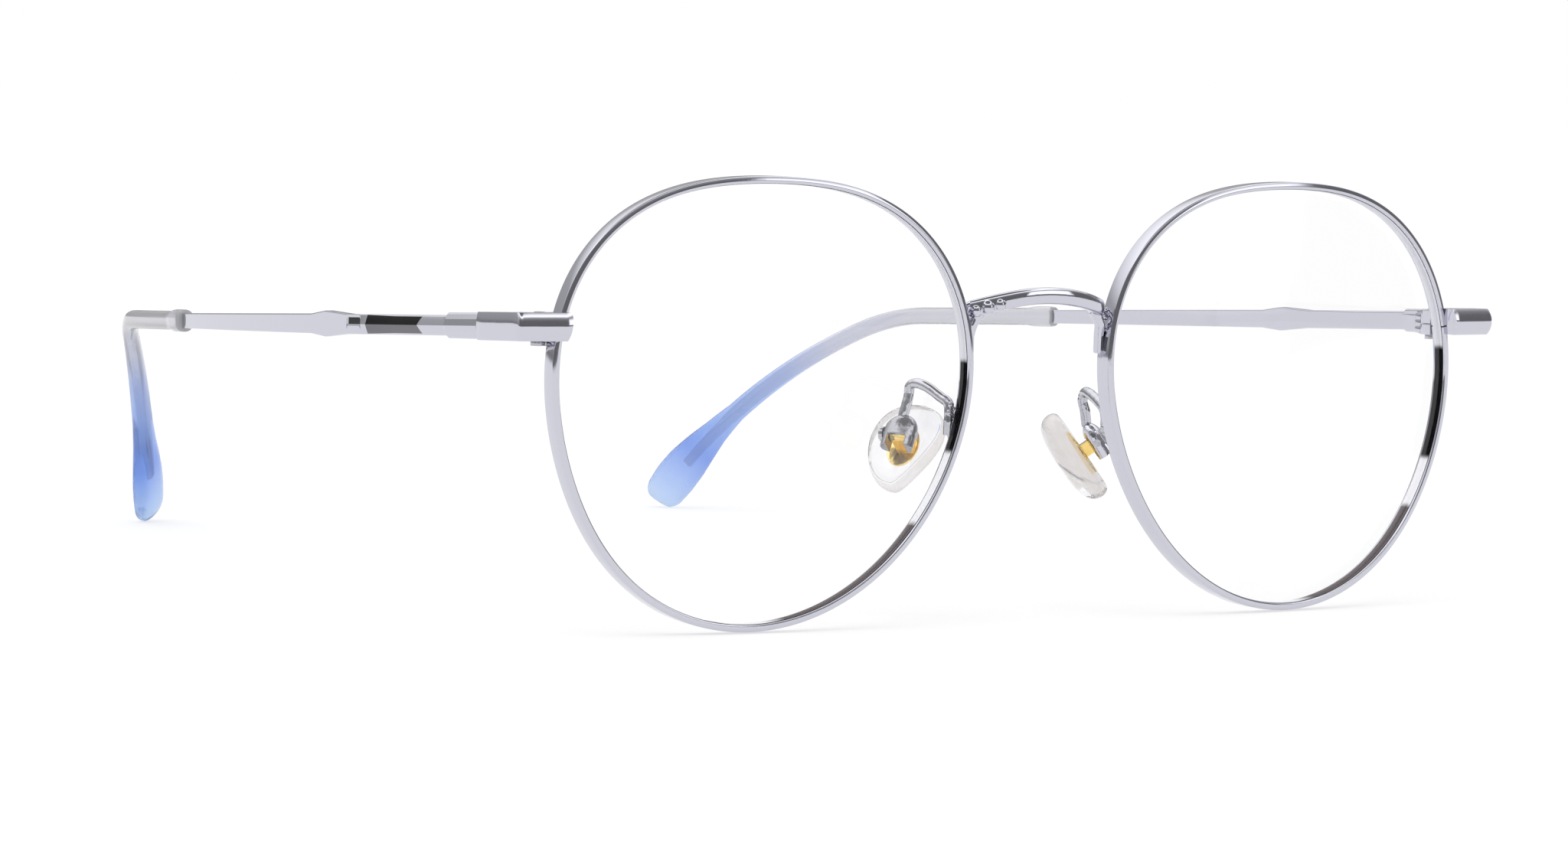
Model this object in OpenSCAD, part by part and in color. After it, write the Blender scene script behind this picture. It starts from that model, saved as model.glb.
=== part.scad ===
// Round metal eyeglass frame, open, standing on its rims and on its two temple tips.
// X runs to the wearer's left, Y backwards along the temples, Z up from the table.
// The wearer's left half is drawn and the right half is its mirror image.

/* [Rims] */
// Outer width of one rim, measured through its centre
rim_w = 50.4; // [44:0.1:56]
// Outer height of one rim, measured through its centre
rim_h = 47.95; // [42:0.05:54]
// Distance from the middle of the face to the centre of each rim
rim_x = 34.65; // [34:0.05:37]
// Front to back depth of the rim wire
rim_depth = 2.03; // [1.6:0.01:2.6]
// Thickness of the rim wire, seen from the front
rim_wall = 0.76; // [0.6:0.01:1.2]
// Chamfer on the long edges of the rim wire
rim_edge = 0.12; // [0.05:0.01:0.2]
// Depth of the lens groove
groove_depth = 0.4; // [0.25:0.01:0.45]
// Width of the mouth of the lens groove
groove_w = 0.8; // [0.6:0.01:1]
// Angle by which each rim turns back around the face
wrap = 3.6; // [0:0.1:8]
// Radius of the curve that the lenses follow
face_r = 122; // [90:1:250]
// How much flatter the top of the rim is than its bottom, as a share of its radius
flat_top = 0.034; // [0:0.001:0.04]
// How square the rim is, as a share of its radius
squareness = -0.011; // [-0.02:0.001:0.02]
// How far the upper outer quarter is drawn in, as a share of its radius
lean = -0.0136; // [-0.02:0.0002:0.02]
// How far the outer side is drawn in, as a share of its radius
egg = -0.009; // [-0.02:0.001:0.02]

/* [Lenses] */
// Thickness of the lens
lens_t = 1.3; // [1:0.1:1.8]
// Width of the bevel around the lens
bevel_w = 0.64; // [0.4:0.02:0.7]

/* [Bridge] */
// Height of the bridge's middle above the rim centres
bridge_rise = 10.62; // [9.5:0.01:12]
// Distance of the bridge bar's middle behind the front of the lenses
bar_y = 0.43; // [-1:0.01:1.5]
// How far the bar's ends lie below its middle
arch_fall = 1.45; // [0.8:0.05:2]
// How far the bar's ends lie behind its middle
bow_back = 1.9; // [0.5:0.05:2.2]
// Height of the bridge bar
bar_h = 1.75; // [1.2:0.05:2.2]
// Front to back thickness of the bridge bar
bar_t = 1.3; // [1:0.05:1.8]
// Distance from the outside of the leg to the cut end of the bar
bar_setback = 0.6; // [0.3:0.05:1]
// Width of the bridge leg, seen from the front
leg_w = 0.85; // [0.6:0.05:1.1]
// Front to back thickness of the bridge leg
leg_t = 1.1; // [0.8:0.05:1.5]
// Height of the leg's foot above the rim centres
leg_foot_z = 4.2; // [3:0.1:5.5]

/* [Endpieces] */
// Height of the endpiece
end_h = 2.93; // [2.4:0.01:3.4]
// Height of the endpiece's middle above the rim centres
end_z = 7.4; // [6:0.1:9]
// How far the endpiece laps over the rim's front, at its top
end_lap = 0.6; // [0.4:0.05:0.7]
// Slant of the endpiece's cut end, from top to bottom
end_slant = 0.4; // [0:0.05:0.5]
// Distance from the rim's outer side to the endpiece's outer face
end_reach = 5.55; // [5:0.05:7]
// Length of the endpiece from the rim's front back to the temple
end_back = 7.3; // [6.5:0.1:9]
// Thickness of the endpiece's front arm at its edges
end_front_t = 1.8; // [1.2:0.05:2.4]
// Thickness of the endpiece's side arm at its edges
end_side_t = 1.15; // [0.7:0.05:1.4]
// How far the endpiece's front swells at mid height
end_crown = 0.6; // [0.2:0.05:0.8]
// How far the endpiece's outer side swells at mid height
side_crown = 0.2; // [0.1:0.05:0.6]
// Radius of the endpiece's outer corner
end_corner_r = 0.5; // [0.2:0.05:0.8]

/* [Rim locks] */
// Height of the joint in the rim above the rim centres
lock_z = 7; // [6.4:0.1:8]
// Gap in the rim between the two locks
lock_gap = 0.1; // [0.05:0.01:0.2]
// Width of the lock blocks, seen from the front
lock_w = 2.6; // [2.3:0.1:3]
// Front to back thickness of the lock blocks
lock_t = 2; // [1.8:0.1:2.4]
// Height of the upper lock block
lock_upper_h = 1.5; // [1:0.1:2]
// Height of the lower lock block
lock_lower_h = 1.2; // [1:0.1:1.8]
// Radius of the lock screw's thread
lock_screw_r = 0.6; // [0.4:0.05:0.7]
// Radius of the lock screw's head
lock_head_r = 0.9; // [0.8:0.05:1.1]
// Height of the lock screw's head
lock_head_h = 0.45; // [0.4:0.05:0.9]

/* [Hinges] */
// Outer radius of the hinge knuckles
knuckle_r = 1.05; // [0.95:0.01:1.2]
// Height of one hinge knuckle
knuckle_h = 0.68; // [0.6:0.02:0.8]
// Radius of the hinge screw
hinge_screw_r = 0.6; // [0.4:0.02:0.7]
// Radius of the hinge screw's head
hinge_head_r = 0.9; // [0.75:0.05:1]
// Height of the hinge screw's head
hinge_head_h = 0.28; // [0.2:0.02:0.4]
// Distance of the hinge's middle below the middle of the temple strip
hinge_drop = 0.27; // [0.1:0.01:0.4]
// Thickness of the hinge leaves
leaf_t = 0.8; // [0.6:0.05:1]
// Length of the front hinge leaf
front_leaf_len = 2.4; // [1.5:0.1:3]
// Length of the temple hinge leaf
temple_leaf_len = 4.2; // [3:0.1:6]

/* [Temples] */
// Length of the temple along its curve, from the hinge to the end of the tip
temple_len = 144.2; // [138:0.1:150]
// Angle at which the temple leaves the hinge outwards
splay = 5.7; // [0:0.1:8]
// Radius of the temple's long inward bow, seen from above
temple_bow_r = 272; // [240:1:400]
// Downward slope of the straight part of the temple
slope = 2.8; // [1:0.1:4]
// Distance from the hinge to the bend over the ear
bend_at = 95.6; // [90:0.1:102]
// Length of the bend over the ear
bend_len = 10.4; // [6:0.1:16]
// Inward angle of the temple behind the bend
bend_swing = 31; // [15:1:33]
// Inward angle of the temple at its end
end_swing = 32.5; // [15:0.5:36]
// Downward slope behind the bend
bend_drop = 25; // [18:1:32]
// Downward slope at the temple's end
end_drop = 55; // [40:0.5:60]
// Height of the temple strip at the hinge
butt_h = 2.75; // [2.3:0.05:3]
// Height of the slim part of the strip in front
neck_h = 2.15; // [1.8:0.05:2.5]
// Height of the strip at its flare
flare_h = 2.83; // [2.4:0.01:3.2]
// Height of the strip where it enters the tip
tail_h = 1.72; // [1.4:0.02:1.9]
// Height of the core wire at its end
wire_h = 1.2; // [0.9:0.05:1.5]
// Thickness of the strip at the hinge
butt_t = 1.35; // [1.1:0.05:1.6]
// Thickness of the strip where it enters the tip
tail_t = 0.9; // [0.7:0.05:1.1]
// Length of the swelled front of the strip
butt_len = 6; // [5.2:0.1:8]
// Length of the first pair of roof facets
roof_len = 4.3; // [3:0.1:6]
// Length of the dark pair of facets
facet_len = 11.3; // [8:0.1:14]
// Plain length between the dark facets and the small inset
inset_gap = 1.3; // [0.8:0.1:2]
// Length of the small inset
inset_len = 2.5; // [1.5:0.1:4]
// Depth of the small inset
inset_depth = 0.15; // [0.1:0.01:0.25]
// How far the strip's faceted front stands out at mid height
facet_crown = 0.4; // [0.2:0.05:0.5]
// Length of the flare, from slim to slim
flare_len = 8.6; // [6:0.1:10]
// Distance from the inset to the widest point of the flare
flare_peak = 5.2; // [3:0.1:5.5]
// Length of the temple's end that holds no core wire
wire_short = 7; // [5:0.5:16]

/* [Tips] */
// Distance from the hinge to the mouth of the tip
tip_at = 72.9; // [66:0.1:76]
// Length of the collar at the tip's mouth
collar_len = 3.2; // [2:0.1:5]
// Height of the collar at the tip's mouth
collar_h = 2.6; // [2.4:0.05:3]
// Height of the tip along the ear
tip_h = 2.2; // [2.1:0.05:2.5]
// Thickness of the tip along the ear
tip_t = 1.9; // [1.6:0.05:2.2]
// Thickness of the tip at its broad end
paddle_t = 2.3; // [1.9:0.05:2.6]
// Height of the tip at its broad end
paddle_h = 5.6; // [3.5:0.05:6.5]
// Length of the broad end
paddle_len = 17; // [12:0.5:26]
// Roll of the broad end towards the head
tip_roll = 26; // [0:1:30]

/* [Nose pads] */
// Distance from the middle of the face to the pad screw
pad_x = 13.1; // [12.5:0.1:15]
// Distance of the pad screw behind the rims' centre
pad_y = 8.6; // [8:0.1:11]
// Depth of the pad screw below the rim centres
pad_z = 5.4; // [4:0.1:7]
// How much lower the left pad hangs than the right one, because of the way its arm is bent
pad_uneven = 1.2; // [0:0.1:1.4]
// Angle of the pads seen from above
pad_splay = 33; // [20:1:38]
// Lean of the pads seen from the front
pad_tilt = 36; // [24:1:40]
// Length of the pad
pad_len = 11.1; // [9:0.1:14]
// Width of the pad
pad_w = 8.2; // [6.5:0.1:9]
// Thickness of the pad
pad_t = 3.3; // [2.2:0.1:3.6]
// Distance of the pad's middle behind the middle of the pad box
pad_shift = 0.4; // [0:0.1:0.8]
// Distance from the pad screw to the pad's back
pad_stand = 1.7; // [1.5:0.05:2.2]
// Length of the plate inside the pad
plate_len = 5.2; // [4:0.1:6]
// Width of the plate inside the pad
plate_w = 3.6; // [3:0.1:4]
// Thickness of the plate inside the pad
plate_t = 0.3; // [0.2:0.05:0.4]
// Width of the tab that stands out of the pad
tab_w = 1.9; // [1.4:0.05:2.2]
// Radius of the tab around the pad screw
tab_r = 0.75; // [0.65:0.01:0.8]
// Wall of the pad box
box_wall = 0.8; // [0.5:0.05:1]
// Height of the pad box above the pad screw
box_up = 2.35; // [1.8:0.05:2.6]
// Depth of the pad box below the pad screw
box_down = 1.8; // [1.2:0.05:2.2]
// Radius of the pad screw
pad_screw_r = 0.42; // [0.35:0.01:0.5]
// Radius of the pad screw's head
pad_head_r = 0.8; // [0.6:0.05:1]
// Radius of the pad arm's wire
arm_r = 0.45; // [0.35:0.01:0.55]
// Height of the pad arm's loop above the rim centres
arm_top_z = 0.2; // [-0.5:0.05:1.5]
// Length of the pad arm's foot along the rim
foot_len = 3; // [2:0.1:3.4]

/* [Fits] */
// Radial clearance of a screw in a turning piece
running = 0.05; // [0.03:0.01:0.08]
// Radial clearance of a screw in a fixed piece
screw_fit = 0.02; // [0.01:0.005:0.04]
// Gap between faces that pass each other
face_gap = 0.06; // [0.04:0.01:0.1]
// Gap between the lens and its groove
lens_gap = 0.05; // [0.03:0.01:0.08]
// Gap between the core wire and its tip
wire_gap = 0.04; // [0.02:0.01:0.08]
// Gap between the endpiece and the temple's front end
butt_gap = 0.12; // [0.08:0.01:0.2]
// Depth to which soldered pieces run into each other
solder = 0.06; // [0.03:0.01:0.1]

/* [Hidden] */
$fn = 48;

chrome = [0.78, 0.78, 0.83];
dark_chrome = [0.45, 0.45, 0.5];
gold = [0.82, 0.63, 0.22];
clear = [0.9, 0.93, 0.95, 0.35];
tip_blue = [0.55, 0.7, 0.95, 0.6];
pad_clear = [0.93, 0.93, 0.9, 0.5];

// Steps of the curved pieces
rim_steps = 72;
pad_steps = 24;
wire_sides = 8;
line_step = 0.5;

// Rim outline: radius and point at angle a, counted from the outer side over the top
rim_r = (rim_w + rim_h) / 4 / (1 + squareness);
oval = (rim_w - rim_h) / 4 / rim_r;
function outline_r(a) =
  rim_r * (1 + oval * cos(2 * a) + lean * sin(2 * a) + egg * cos(3 * a)
           + flat_top * sin(3 * a) + squareness * cos(4 * a));
function on_face(u, v, back) =
  let (y = (u * u + v * v) / (2 * face_r) + back)
  [rim_x + u * cos(wrap) - y * sin(wrap), u * sin(wrap) + y * cos(wrap), v];
function rim_point(a, inset, back) =
  let (r = outline_r(a) - inset)
  on_face(r * cos(a), r * sin(a), back);

// Angle on the rim at a height above its centre, on the outer or the nasal side
function outer_angle(h, a = 0, n = 8) =
  n == 0 ? a : outer_angle(h, asin(h / outline_r(a)), n - 1);
function nasal_angle(h, a = 180, n = 8) =
  n == 0 ? a : nasal_angle(h, 180 - asin(h / outline_r(a)), n - 1);

// Endpiece and lock places, taken from the rim's outer side
end_rim = rim_point(outer_angle(end_z), 0, 0);
end_face_y = end_rim[1] + solder;
end_outer_x = end_rim[0] + end_reach;
end_inner_x = end_outer_x - end_side_t - side_crown;
split_y = end_rim[1] + end_back;
end_fall = (split_y - end_face_y) * tan(slope);
split_a = outer_angle(lock_z);
lock_rim = rim_point(split_a, 0, rim_depth);
lock_x = lock_rim[0] - rim_wall;
lock_y = lock_rim[1] - solder;
lock_screw_x = lock_x + lock_w / 2;
lock_screw_y = lock_y + solder + face_gap + lock_head_r;

// Hinge places
strip_z = end_z - end_fall;
hinge_z = strip_z - hinge_drop;
hinge_x = end_inner_x - knuckle_r - face_gap;
hinge_y = split_y + 0.4;
knuckle_pitch = knuckle_h + face_gap;
leaf_clear = knuckle_r + 2 * face_gap;

// Temple centre line, worked out step by step from its heading
temple_start = [end_outer_x - butt_t / 2, split_y + butt_gap, strip_z];
bow_turn = bend_at / temple_bow_r * 180 / PI;
function swing(s) =
  s < bend_at ? s / temple_bow_r * 180 / PI - splay
  : let (f = min(1, (s - bend_at) / bend_len),
         g = max(0, (s - bend_at - bend_len) / (temple_len - bend_at - bend_len)))
    (bow_turn - splay) * (1 - f) + bend_swing * f + (end_swing - bend_swing) * g;
function drop(s) =
  s < bend_at ? slope
  : let (f = min(1, (s - bend_at) / bend_len),
         g = max(0, (s - bend_at - bend_len) / (temple_len - bend_at - bend_len)))
    slope * (1 - f) + bend_drop * f + (end_drop - bend_drop) * g;
function heading(q, p) = [-sin(q) * cos(p), cos(q) * cos(p), -sin(p)];
function outward(q) = [cos(q), sin(q), 0];
function upward(q, p) = [-sin(q) * sin(p), cos(q) * sin(p), cos(p)];
line_steps = ceil(temple_len / line_step) + 1;
temple_line = [
  for (i = 0, p = temple_start; i <= line_steps;
       p = p + line_step * heading(swing((i + 0.5) * line_step), drop((i + 0.5) * line_step)),
       i = i + 1) p
];
function on_line(s) =
  let (k = floor(s / line_step), f = s / line_step - k)
  temple_line[k] * (1 - f) + temple_line[k + 1] * f;

// Ring of a profile's points, square to the temple line at distance s and rolled inwards
function temple_ring(s, profile, roll = 0) =
  let (q = s == 0 ? 0 : swing(s), p = s == 0 ? 0 : drop(s), c = on_line(s),
       across = outward(q) * cos(roll) + upward(q, p) * sin(roll),
       up = upward(q, p) * cos(roll) - outward(q) * sin(roll))
  [for (t = profile) c + t[0] * across + t[1] * up];

// Rounded rectangle, three points to a corner
function pillow(w, h, r) = [
  for (corner = [0 : 3], a = [0, 45, 90])
    let (sx = (corner == 0 || corner == 3) ? 1 : -1, sy = corner < 2 ? 1 : -1)
    [sx * (w / 2 - r) + r * cos(a + 90 * corner), sy * (h / 2 - r) + r * sin(a + 90 * corner)]
];

// Skin over a list of equal rings, with flat ends or fans to a hub point
module skin(rings, first_hub, last_hub) {
  n = len(rings[0]);
  m = len(rings);
  count = n * m;
  walls = [
    for (k = [0 : m - 2], i = [0 : n - 1])
      let (a = k * n + i, b = k * n + (i + 1) % n)
      each [[a, b, b + n], [a, b + n, a + n]]
  ];
  first_end = is_undef(first_hub)
    ? [[for (i = [n - 1 : -1 : 0]) i]]
    : [for (i = [0 : n - 1]) [(i + 1) % n, i, count]];
  last_hub_index = is_undef(first_hub) ? count : count + 1;
  last_end = is_undef(last_hub)
    ? [[for (i = [0 : n - 1]) count - n + i]]
    : [for (i = [0 : n - 1]) [count - n + i, count - n + (i + 1) % n, last_hub_index]];
  hubs = concat(is_undef(first_hub) ? [] : [first_hub], is_undef(last_hub) ? [] : [last_hub]);
  polyhedron(concat([for (r = rings) each r], hubs), concat(walls, first_end, last_end), 10);
}

// Rim

groove_mid = rim_depth / 2;
rim_section = [
  [rim_edge, 0], [0, rim_edge], [0, rim_depth - rim_edge], [rim_edge, rim_depth],
  [rim_wall - rim_edge, rim_depth], [rim_wall, rim_depth - rim_edge],
  [rim_wall, groove_mid + groove_w / 2], [rim_wall - groove_depth, groove_mid],
  [rim_wall, groove_mid - groove_w / 2], [rim_wall, rim_edge], [rim_wall - rim_edge, 0]
];
half_gap_a = lock_gap / 2 / rim_r * 180 / PI;
rim_rings = [
  for (k = [0 : rim_steps])
    let (a = split_a + half_gap_a + k * (360 - 2 * half_gap_a) / rim_steps)
    [for (t = rim_section) rim_point(a, t[0], t[1])]
];
module rim() {
  skin(rim_rings);
}

// Lens: rings from the middle of its front, around the bevel, to the middle of its back

lens_inset = rim_wall + lens_gap;
bevel_inset = rim_wall - groove_depth + lens_gap * 1.4;
lens_front = groove_mid - lens_t / 2;
lens_back = groove_mid + lens_t / 2;
module lens() {
  function loop(share, inset, back) = [
    for (k = [0 : rim_steps - 1])
      let (a = split_a + k * 360 / rim_steps, r = share * (outline_r(a) - inset))
      on_face(r * cos(a), r * sin(a), back)
  ];
  skin(
    [
      loop(0.5, lens_inset, lens_front),
      loop(1, lens_inset, lens_front),
      loop(1, lens_inset, groove_mid - bevel_w / 2),
      loop(1, bevel_inset, groove_mid),
      loop(1, lens_inset, groove_mid + bevel_w / 2),
      loop(1, lens_inset, lens_back),
      loop(0.5, lens_inset, lens_back)
    ],
    on_face(0, 0, lens_front), on_face(0, 0, lens_back));
}

// Bridge: arched bar with a leg at each end

leg_mid_z = leg_foot_z + 1.2;
leg_outer_x = rim_point(nasal_angle(leg_mid_z), 0, rim_depth / 2)[0] + solder;
leg_x = leg_outer_x - leg_w / 2;
leg_y = rim_point(nasal_angle(leg_mid_z), 0, rim_depth)[1] - leg_t / 2;
bar_end_x = leg_outer_x - bar_setback;
bar_steps = 9;
function bar_point(x) = [
  x, bar_y + bow_back * pow(x / bar_end_x, 3), bridge_rise - arch_fall * pow(x / bar_end_x, 2)
];
function bar_slope(x) = 3 * bow_back * x * x / pow(bar_end_x, 3);
function bar_fall(x) = 2 * arch_fall * x / pow(bar_end_x, 2);
// Ring about centre c of a section t thick and h high, tipped outwards by turn
function bridge_ring(c, turn, t, h) =
  let (back = [-bar_slope(min(c[0], bar_end_x)) * cos(turn), 1, 0], b = back / norm(back),
       up = [sin(turn), 0, cos(turn)])
  [for (q = pillow(t, h, min(t, h) * 0.36)) c + q[0] * b + q[1] * up];
module bridge_body() {
  cut = bar_point(bar_end_x);
  knee = [leg_x - 0.15, leg_y, leg_foot_z + 2.9];
  foot = [leg_x, leg_y, leg_foot_z];
  // The bar's rings, then those that turn down into the leg
  half = concat(
    [for (k = [0 : bar_steps])
      let (x = (bar_end_x - 0.9) * k / bar_steps)
      bridge_ring(bar_point(x), atan(bar_fall(x)), bar_t, bar_h)],
    [
      bridge_ring(cut + [-0.4, -0.1, -0.05], 28, bar_t, bar_h * 1.08),
      bridge_ring(cut + [-0.2, 0.05, -0.75], 40, bar_t, bar_h * 0.72),
      bridge_ring(cut * 0.55 + knee * 0.45 + [0, -0.1, -0.1], 65, bar_t * 0.95, leg_w * 1.25),
      bridge_ring(knee, 84, leg_t, leg_w * 1.05),
      bridge_ring(foot + [0, 0, 0.2], 90, leg_t, leg_w),
      bridge_ring(foot, 90, leg_t * 0.7, leg_w * 0.7)
    ]);
  last = len(half) - 1;
  skin(concat(
    [for (k = [last : -1 : 1]) [for (p = half[k]) [-p[0], p[1], p[2]]]],
    half));
}

// Endpiece: one cushion-shaped section led round the corner

end_rows = 12;
function end_swell(h, crown) = crown * (1 - pow(2 * abs(h) / end_h, 2.2));
function end_ring(at_edge) =
  let (rows = [for (k = [0 : end_rows]) (k / end_rows - 0.5) * end_h])
  concat([at_edge(-end_h / 2, -1)], [for (h = rows) at_edge(h, 1)], [at_edge(end_h / 2, -1)]);
module endpiece() {
  inner_r = 0.4; // rounding of the inner corner
  cut_x = end_rim[0] - end_lap;
  function end_side(h) = end_outer_x - side_crown + end_swell(h, side_crown);
  function cut(h, side) = [
    cut_x + end_slant * (0.5 - h / end_h),
    side < 0 ? end_face_y : end_face_y - end_front_t - end_swell(h, end_crown),
    end_z + h
  ];
  function corner(turn) = function (h, side)
    side < 0
    ? [end_inner_x - inner_r * (1 - sin(turn)), end_face_y + inner_r * (1 - cos(turn)), end_z + h]
    : [end_side(h) - end_corner_r * (1 - sin(turn)),
       end_face_y - end_front_t - end_swell(h, end_crown) + end_corner_r * (1 - cos(turn)), end_z + h];
  function back(h, side) = [
    side < 0 ? end_inner_x : end_side(h), split_y, strip_z + h
  ];
  skin(concat(
    [end_ring(function (h, side) cut(h, side))],
    [for (turn = [0 : 22.5 : 90]) end_ring(corner(turn))],
    [end_ring(function (h, side) back(h, side))]));
}

// Rim lock: two blocks behind the joint in the rim, drawn together by a screw from below

module lock_block(low, high, hole_r) {
  difference() {
    translate([lock_x, lock_y, low]) linear_extrude(high - low) lock_plan();
    translate([lock_screw_x, lock_screw_y, low - 1]) cylinder(r = hole_r, h = high - low + 2);
  }
}
module lock_plan() {
  round_r = 0.6;
  union() {
    square([lock_w, lock_t - round_r]);
    translate([round_r, 0]) square([lock_w - 2 * round_r, lock_t]);
    for (x = [round_r, lock_w - round_r]) translate([x, lock_t - round_r]) circle(r = round_r);
  }
}
module rim_lock_screw() {
  foot_z = lock_z - lock_gap / 2 - lock_lower_h - face_gap;
  top_z = lock_z + lock_gap / 2 + lock_upper_h + 0.2;
  slot_w = 0.35;
  translate([lock_screw_x, lock_screw_y, 0]) {
    difference() {
      union() {
        translate([0, 0, foot_z - lock_head_h]) cylinder(r = lock_head_r, h = lock_head_h);
        translate([0, 0, foot_z - lock_head_h / 2])
          cylinder(r = lock_screw_r, h = top_z - foot_z + lock_head_h / 2);
      }
      translate([-slot_w / 2, -lock_head_r - 1, foot_z - lock_head_h - 1])
        cube([slot_w, 2 * lock_head_r + 2, 1 + lock_head_h / 2]);
    }
  }
}

// Hinge: two knuckles on the front leaf, one on the temple leaf, and the screw through them

module front_hinge() {
  leaf_x = end_inner_x - leaf_t;
  leaf_end = hinge_y - leaf_clear;
  difference() {
    union() {
      for (low = [hinge_z - knuckle_pitch - knuckle_h / 2, hinge_z + knuckle_pitch - knuckle_h / 2]) {
        translate([hinge_x, hinge_y, low]) cylinder(r = knuckle_r, h = knuckle_h);
        translate([leaf_x, leaf_end - 0.5, low])
          cube([end_inner_x - face_gap - leaf_x, hinge_y - leaf_end + 0.5, knuckle_h]);
      }
      translate([leaf_x, leaf_end - front_leaf_len, hinge_z - knuckle_pitch - knuckle_h / 2])
        cube([leaf_t + solder, front_leaf_len, 2 * knuckle_pitch + knuckle_h]);
    }
    translate([hinge_x, hinge_y, hinge_z - 3 * knuckle_h])
      cylinder(r = hinge_screw_r + screw_fit, h = 6 * knuckle_h);
  }
}
module temple_hinge() {
  leaf_start = hinge_y + leaf_clear;
  inner_x = temple_start[0] - butt_t / 2;
  difference() {
    union() {
      translate([hinge_x, hinge_y, hinge_z - knuckle_h / 2]) cylinder(r = knuckle_r, h = knuckle_h);
      translate([end_inner_x - leaf_t, hinge_y, hinge_z - knuckle_h / 2])
        cube([leaf_t, leaf_clear + 1, knuckle_h]);
      translate([inner_x, temple_start[1], 0]) rotate([0, 0, -splay])
        translate([solder - leaf_t, leaf_start - temple_start[1], hinge_z - knuckle_pitch])
          cube([leaf_t, temple_leaf_len, 2 * knuckle_pitch]);
    }
    translate([hinge_x, hinge_y, hinge_z - knuckle_h])
      cylinder(r = hinge_screw_r + running, h = 2 * knuckle_h);
  }
}
module hinge_screw() {
  half = knuckle_pitch + knuckle_h / 2;
  slot_w = 0.3;
  translate([hinge_x, hinge_y, hinge_z]) difference() {
    union() {
      translate([0, 0, -half - 0.15]) cylinder(r = hinge_screw_r, h = 2 * half + 0.3);
      translate([0, 0, half + screw_fit]) cylinder(r = hinge_head_r, h = hinge_head_h);
    }
    translate([-slot_w / 2, -hinge_head_r - 1, half + screw_fit + hinge_head_h / 2])
      cube([slot_w, 2 * hinge_head_r + 2, 1]);
  }
}

// Temple: metal strip with a faceted front, running on as a flat core wire

roof_end = butt_len + roof_len;
facet_end = roof_end + facet_len;
inset_start = facet_end + inset_gap;
inset_end = inset_start + inset_len;
flare_mid = inset_end + flare_peak;
flare_end = inset_end + flare_len;
wire_end = temple_len - wire_short;
step_len = 0.25;
strip_edge = 0.18;
// Share of its crown by which the strip has fallen halfway to its edge
butt_roof = 0.28;
strip_roof = 0.5;
strip_h = [
  [0, butt_h], [butt_len - step_len, butt_h - 0.07], [butt_len, neck_h], [inset_end, neck_h],
  [flare_mid, flare_h], [flare_end, neck_h], [tip_at, tail_h], [wire_end, wire_h]
];
strip_t = [[0, butt_t], [inset_end, butt_t - 0.15], [tip_at, tail_t], [wire_end, tail_t - 0.1]];
strip_crown = [
  [0, facet_crown], [facet_end, facet_crown - 0.05], [inset_start - step_len, 0.05],
  [inset_start, -inset_depth], [inset_end, -inset_depth], [inset_end + step_len, 0.05],
  [temple_len, 0.05]
];
function strip_profile(s, grow = 0) =
  let (h = lookup(s, strip_h) / 2 + grow, t = lookup(s, strip_t) / 2 + grow,
       crown = lookup(s, strip_crown), c = strip_edge, q = s < butt_len ? butt_roof : strip_roof,
       edge_t = t - max(crown, 0), mid_t = t + min(crown, 0), roof_t = min(t - q * crown, mid_t))
  [
    [edge_t - c, -h], [edge_t, c - h], [roof_t, -h / 2],
    [mid_t, 0], [roof_t, h / 2], [edge_t, h - c],
    [edge_t - c, h], [c - t, h], [-t, h - c], [-t, c - h], [c - t, -h]
  ];
front_stops = [
  0, butt_len / 2, butt_len - step_len, butt_len, roof_end, (roof_end + facet_end) / 2, facet_end,
  inset_start - step_len, inset_start, inset_end, inset_end + step_len,
  (inset_end + flare_mid) / 2, flare_mid, (flare_mid + flare_end) / 2, flare_end
];
plain_stops = [for (k = [1 : 9]) flare_end + k * (tip_at - flare_end) / 9];
wire_steps = 26;
wire_stops = [for (k = [1 : wire_steps]) tip_at + k * (wire_end - tip_at) / wire_steps];
module temple() {
  skin([for (s = concat(front_stops, plain_stops, wire_stops)) temple_ring(s, strip_profile(s))]);
}

// Tip: sleeve from the end of its bore forward to the mouth, then back around its outside

tip_side_r = 0.7;
collar_fall = 1.2;
collar_end = tip_at + collar_len;
collar_t = tip_t + 0.2;
// How far the tip has broadened, against the share of the broad end that is still to come
broadening = [[1, 0.1], [0.76, 0.37], [0.59, 0.67], [0.41, 0.94], [0.26, 1], [0, 0.8]];
tip_heights = concat(
  [[tip_at, collar_h], [collar_end, collar_h], [collar_end + collar_fall, tip_h],
   [bend_at + bend_len, tip_h]],
  [for (b = broadening) [temple_len - b[0] * paddle_len, tip_h + b[1] * (paddle_h - tip_h)]]);
tip_thicks = [
  [tip_at, collar_t], [collar_end, collar_t], [collar_end + collar_fall, tip_t],
  [bend_at + bend_len, tip_t], [temple_len - paddle_len, paddle_t], [temple_len, paddle_t]
];
function tip_profile(s, k) =
  let (h = lookup(s, tip_heights) * k, t = lookup(s, tip_thicks) * k,
       r = tip_side_r * k, cut = 0.4 * r)
  [
    [t / 2 - r, -h / 2], [t / 2 - cut, r - h / 2 - cut], [t / 2, r - h / 2], [t / 2, 0],
    [t / 2, h / 2 - r], [t / 2 - r, h / 2], [r - t / 2, h / 2], [-t / 2, h / 2 - r],
    [-t / 2, 0], [-t / 2, r - h / 2], [r - t / 2, -h / 2]
  ];
roll_len = 20;
function roll_at(s) = tip_roll * max(0, min(1, (s - bend_at - bend_len) / roll_len));
outer_steps = 22;
bore_stops = [for (k = [wire_steps : -1 : 1]) tip_at + k * (wire_end - tip_at) / wire_steps];
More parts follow.
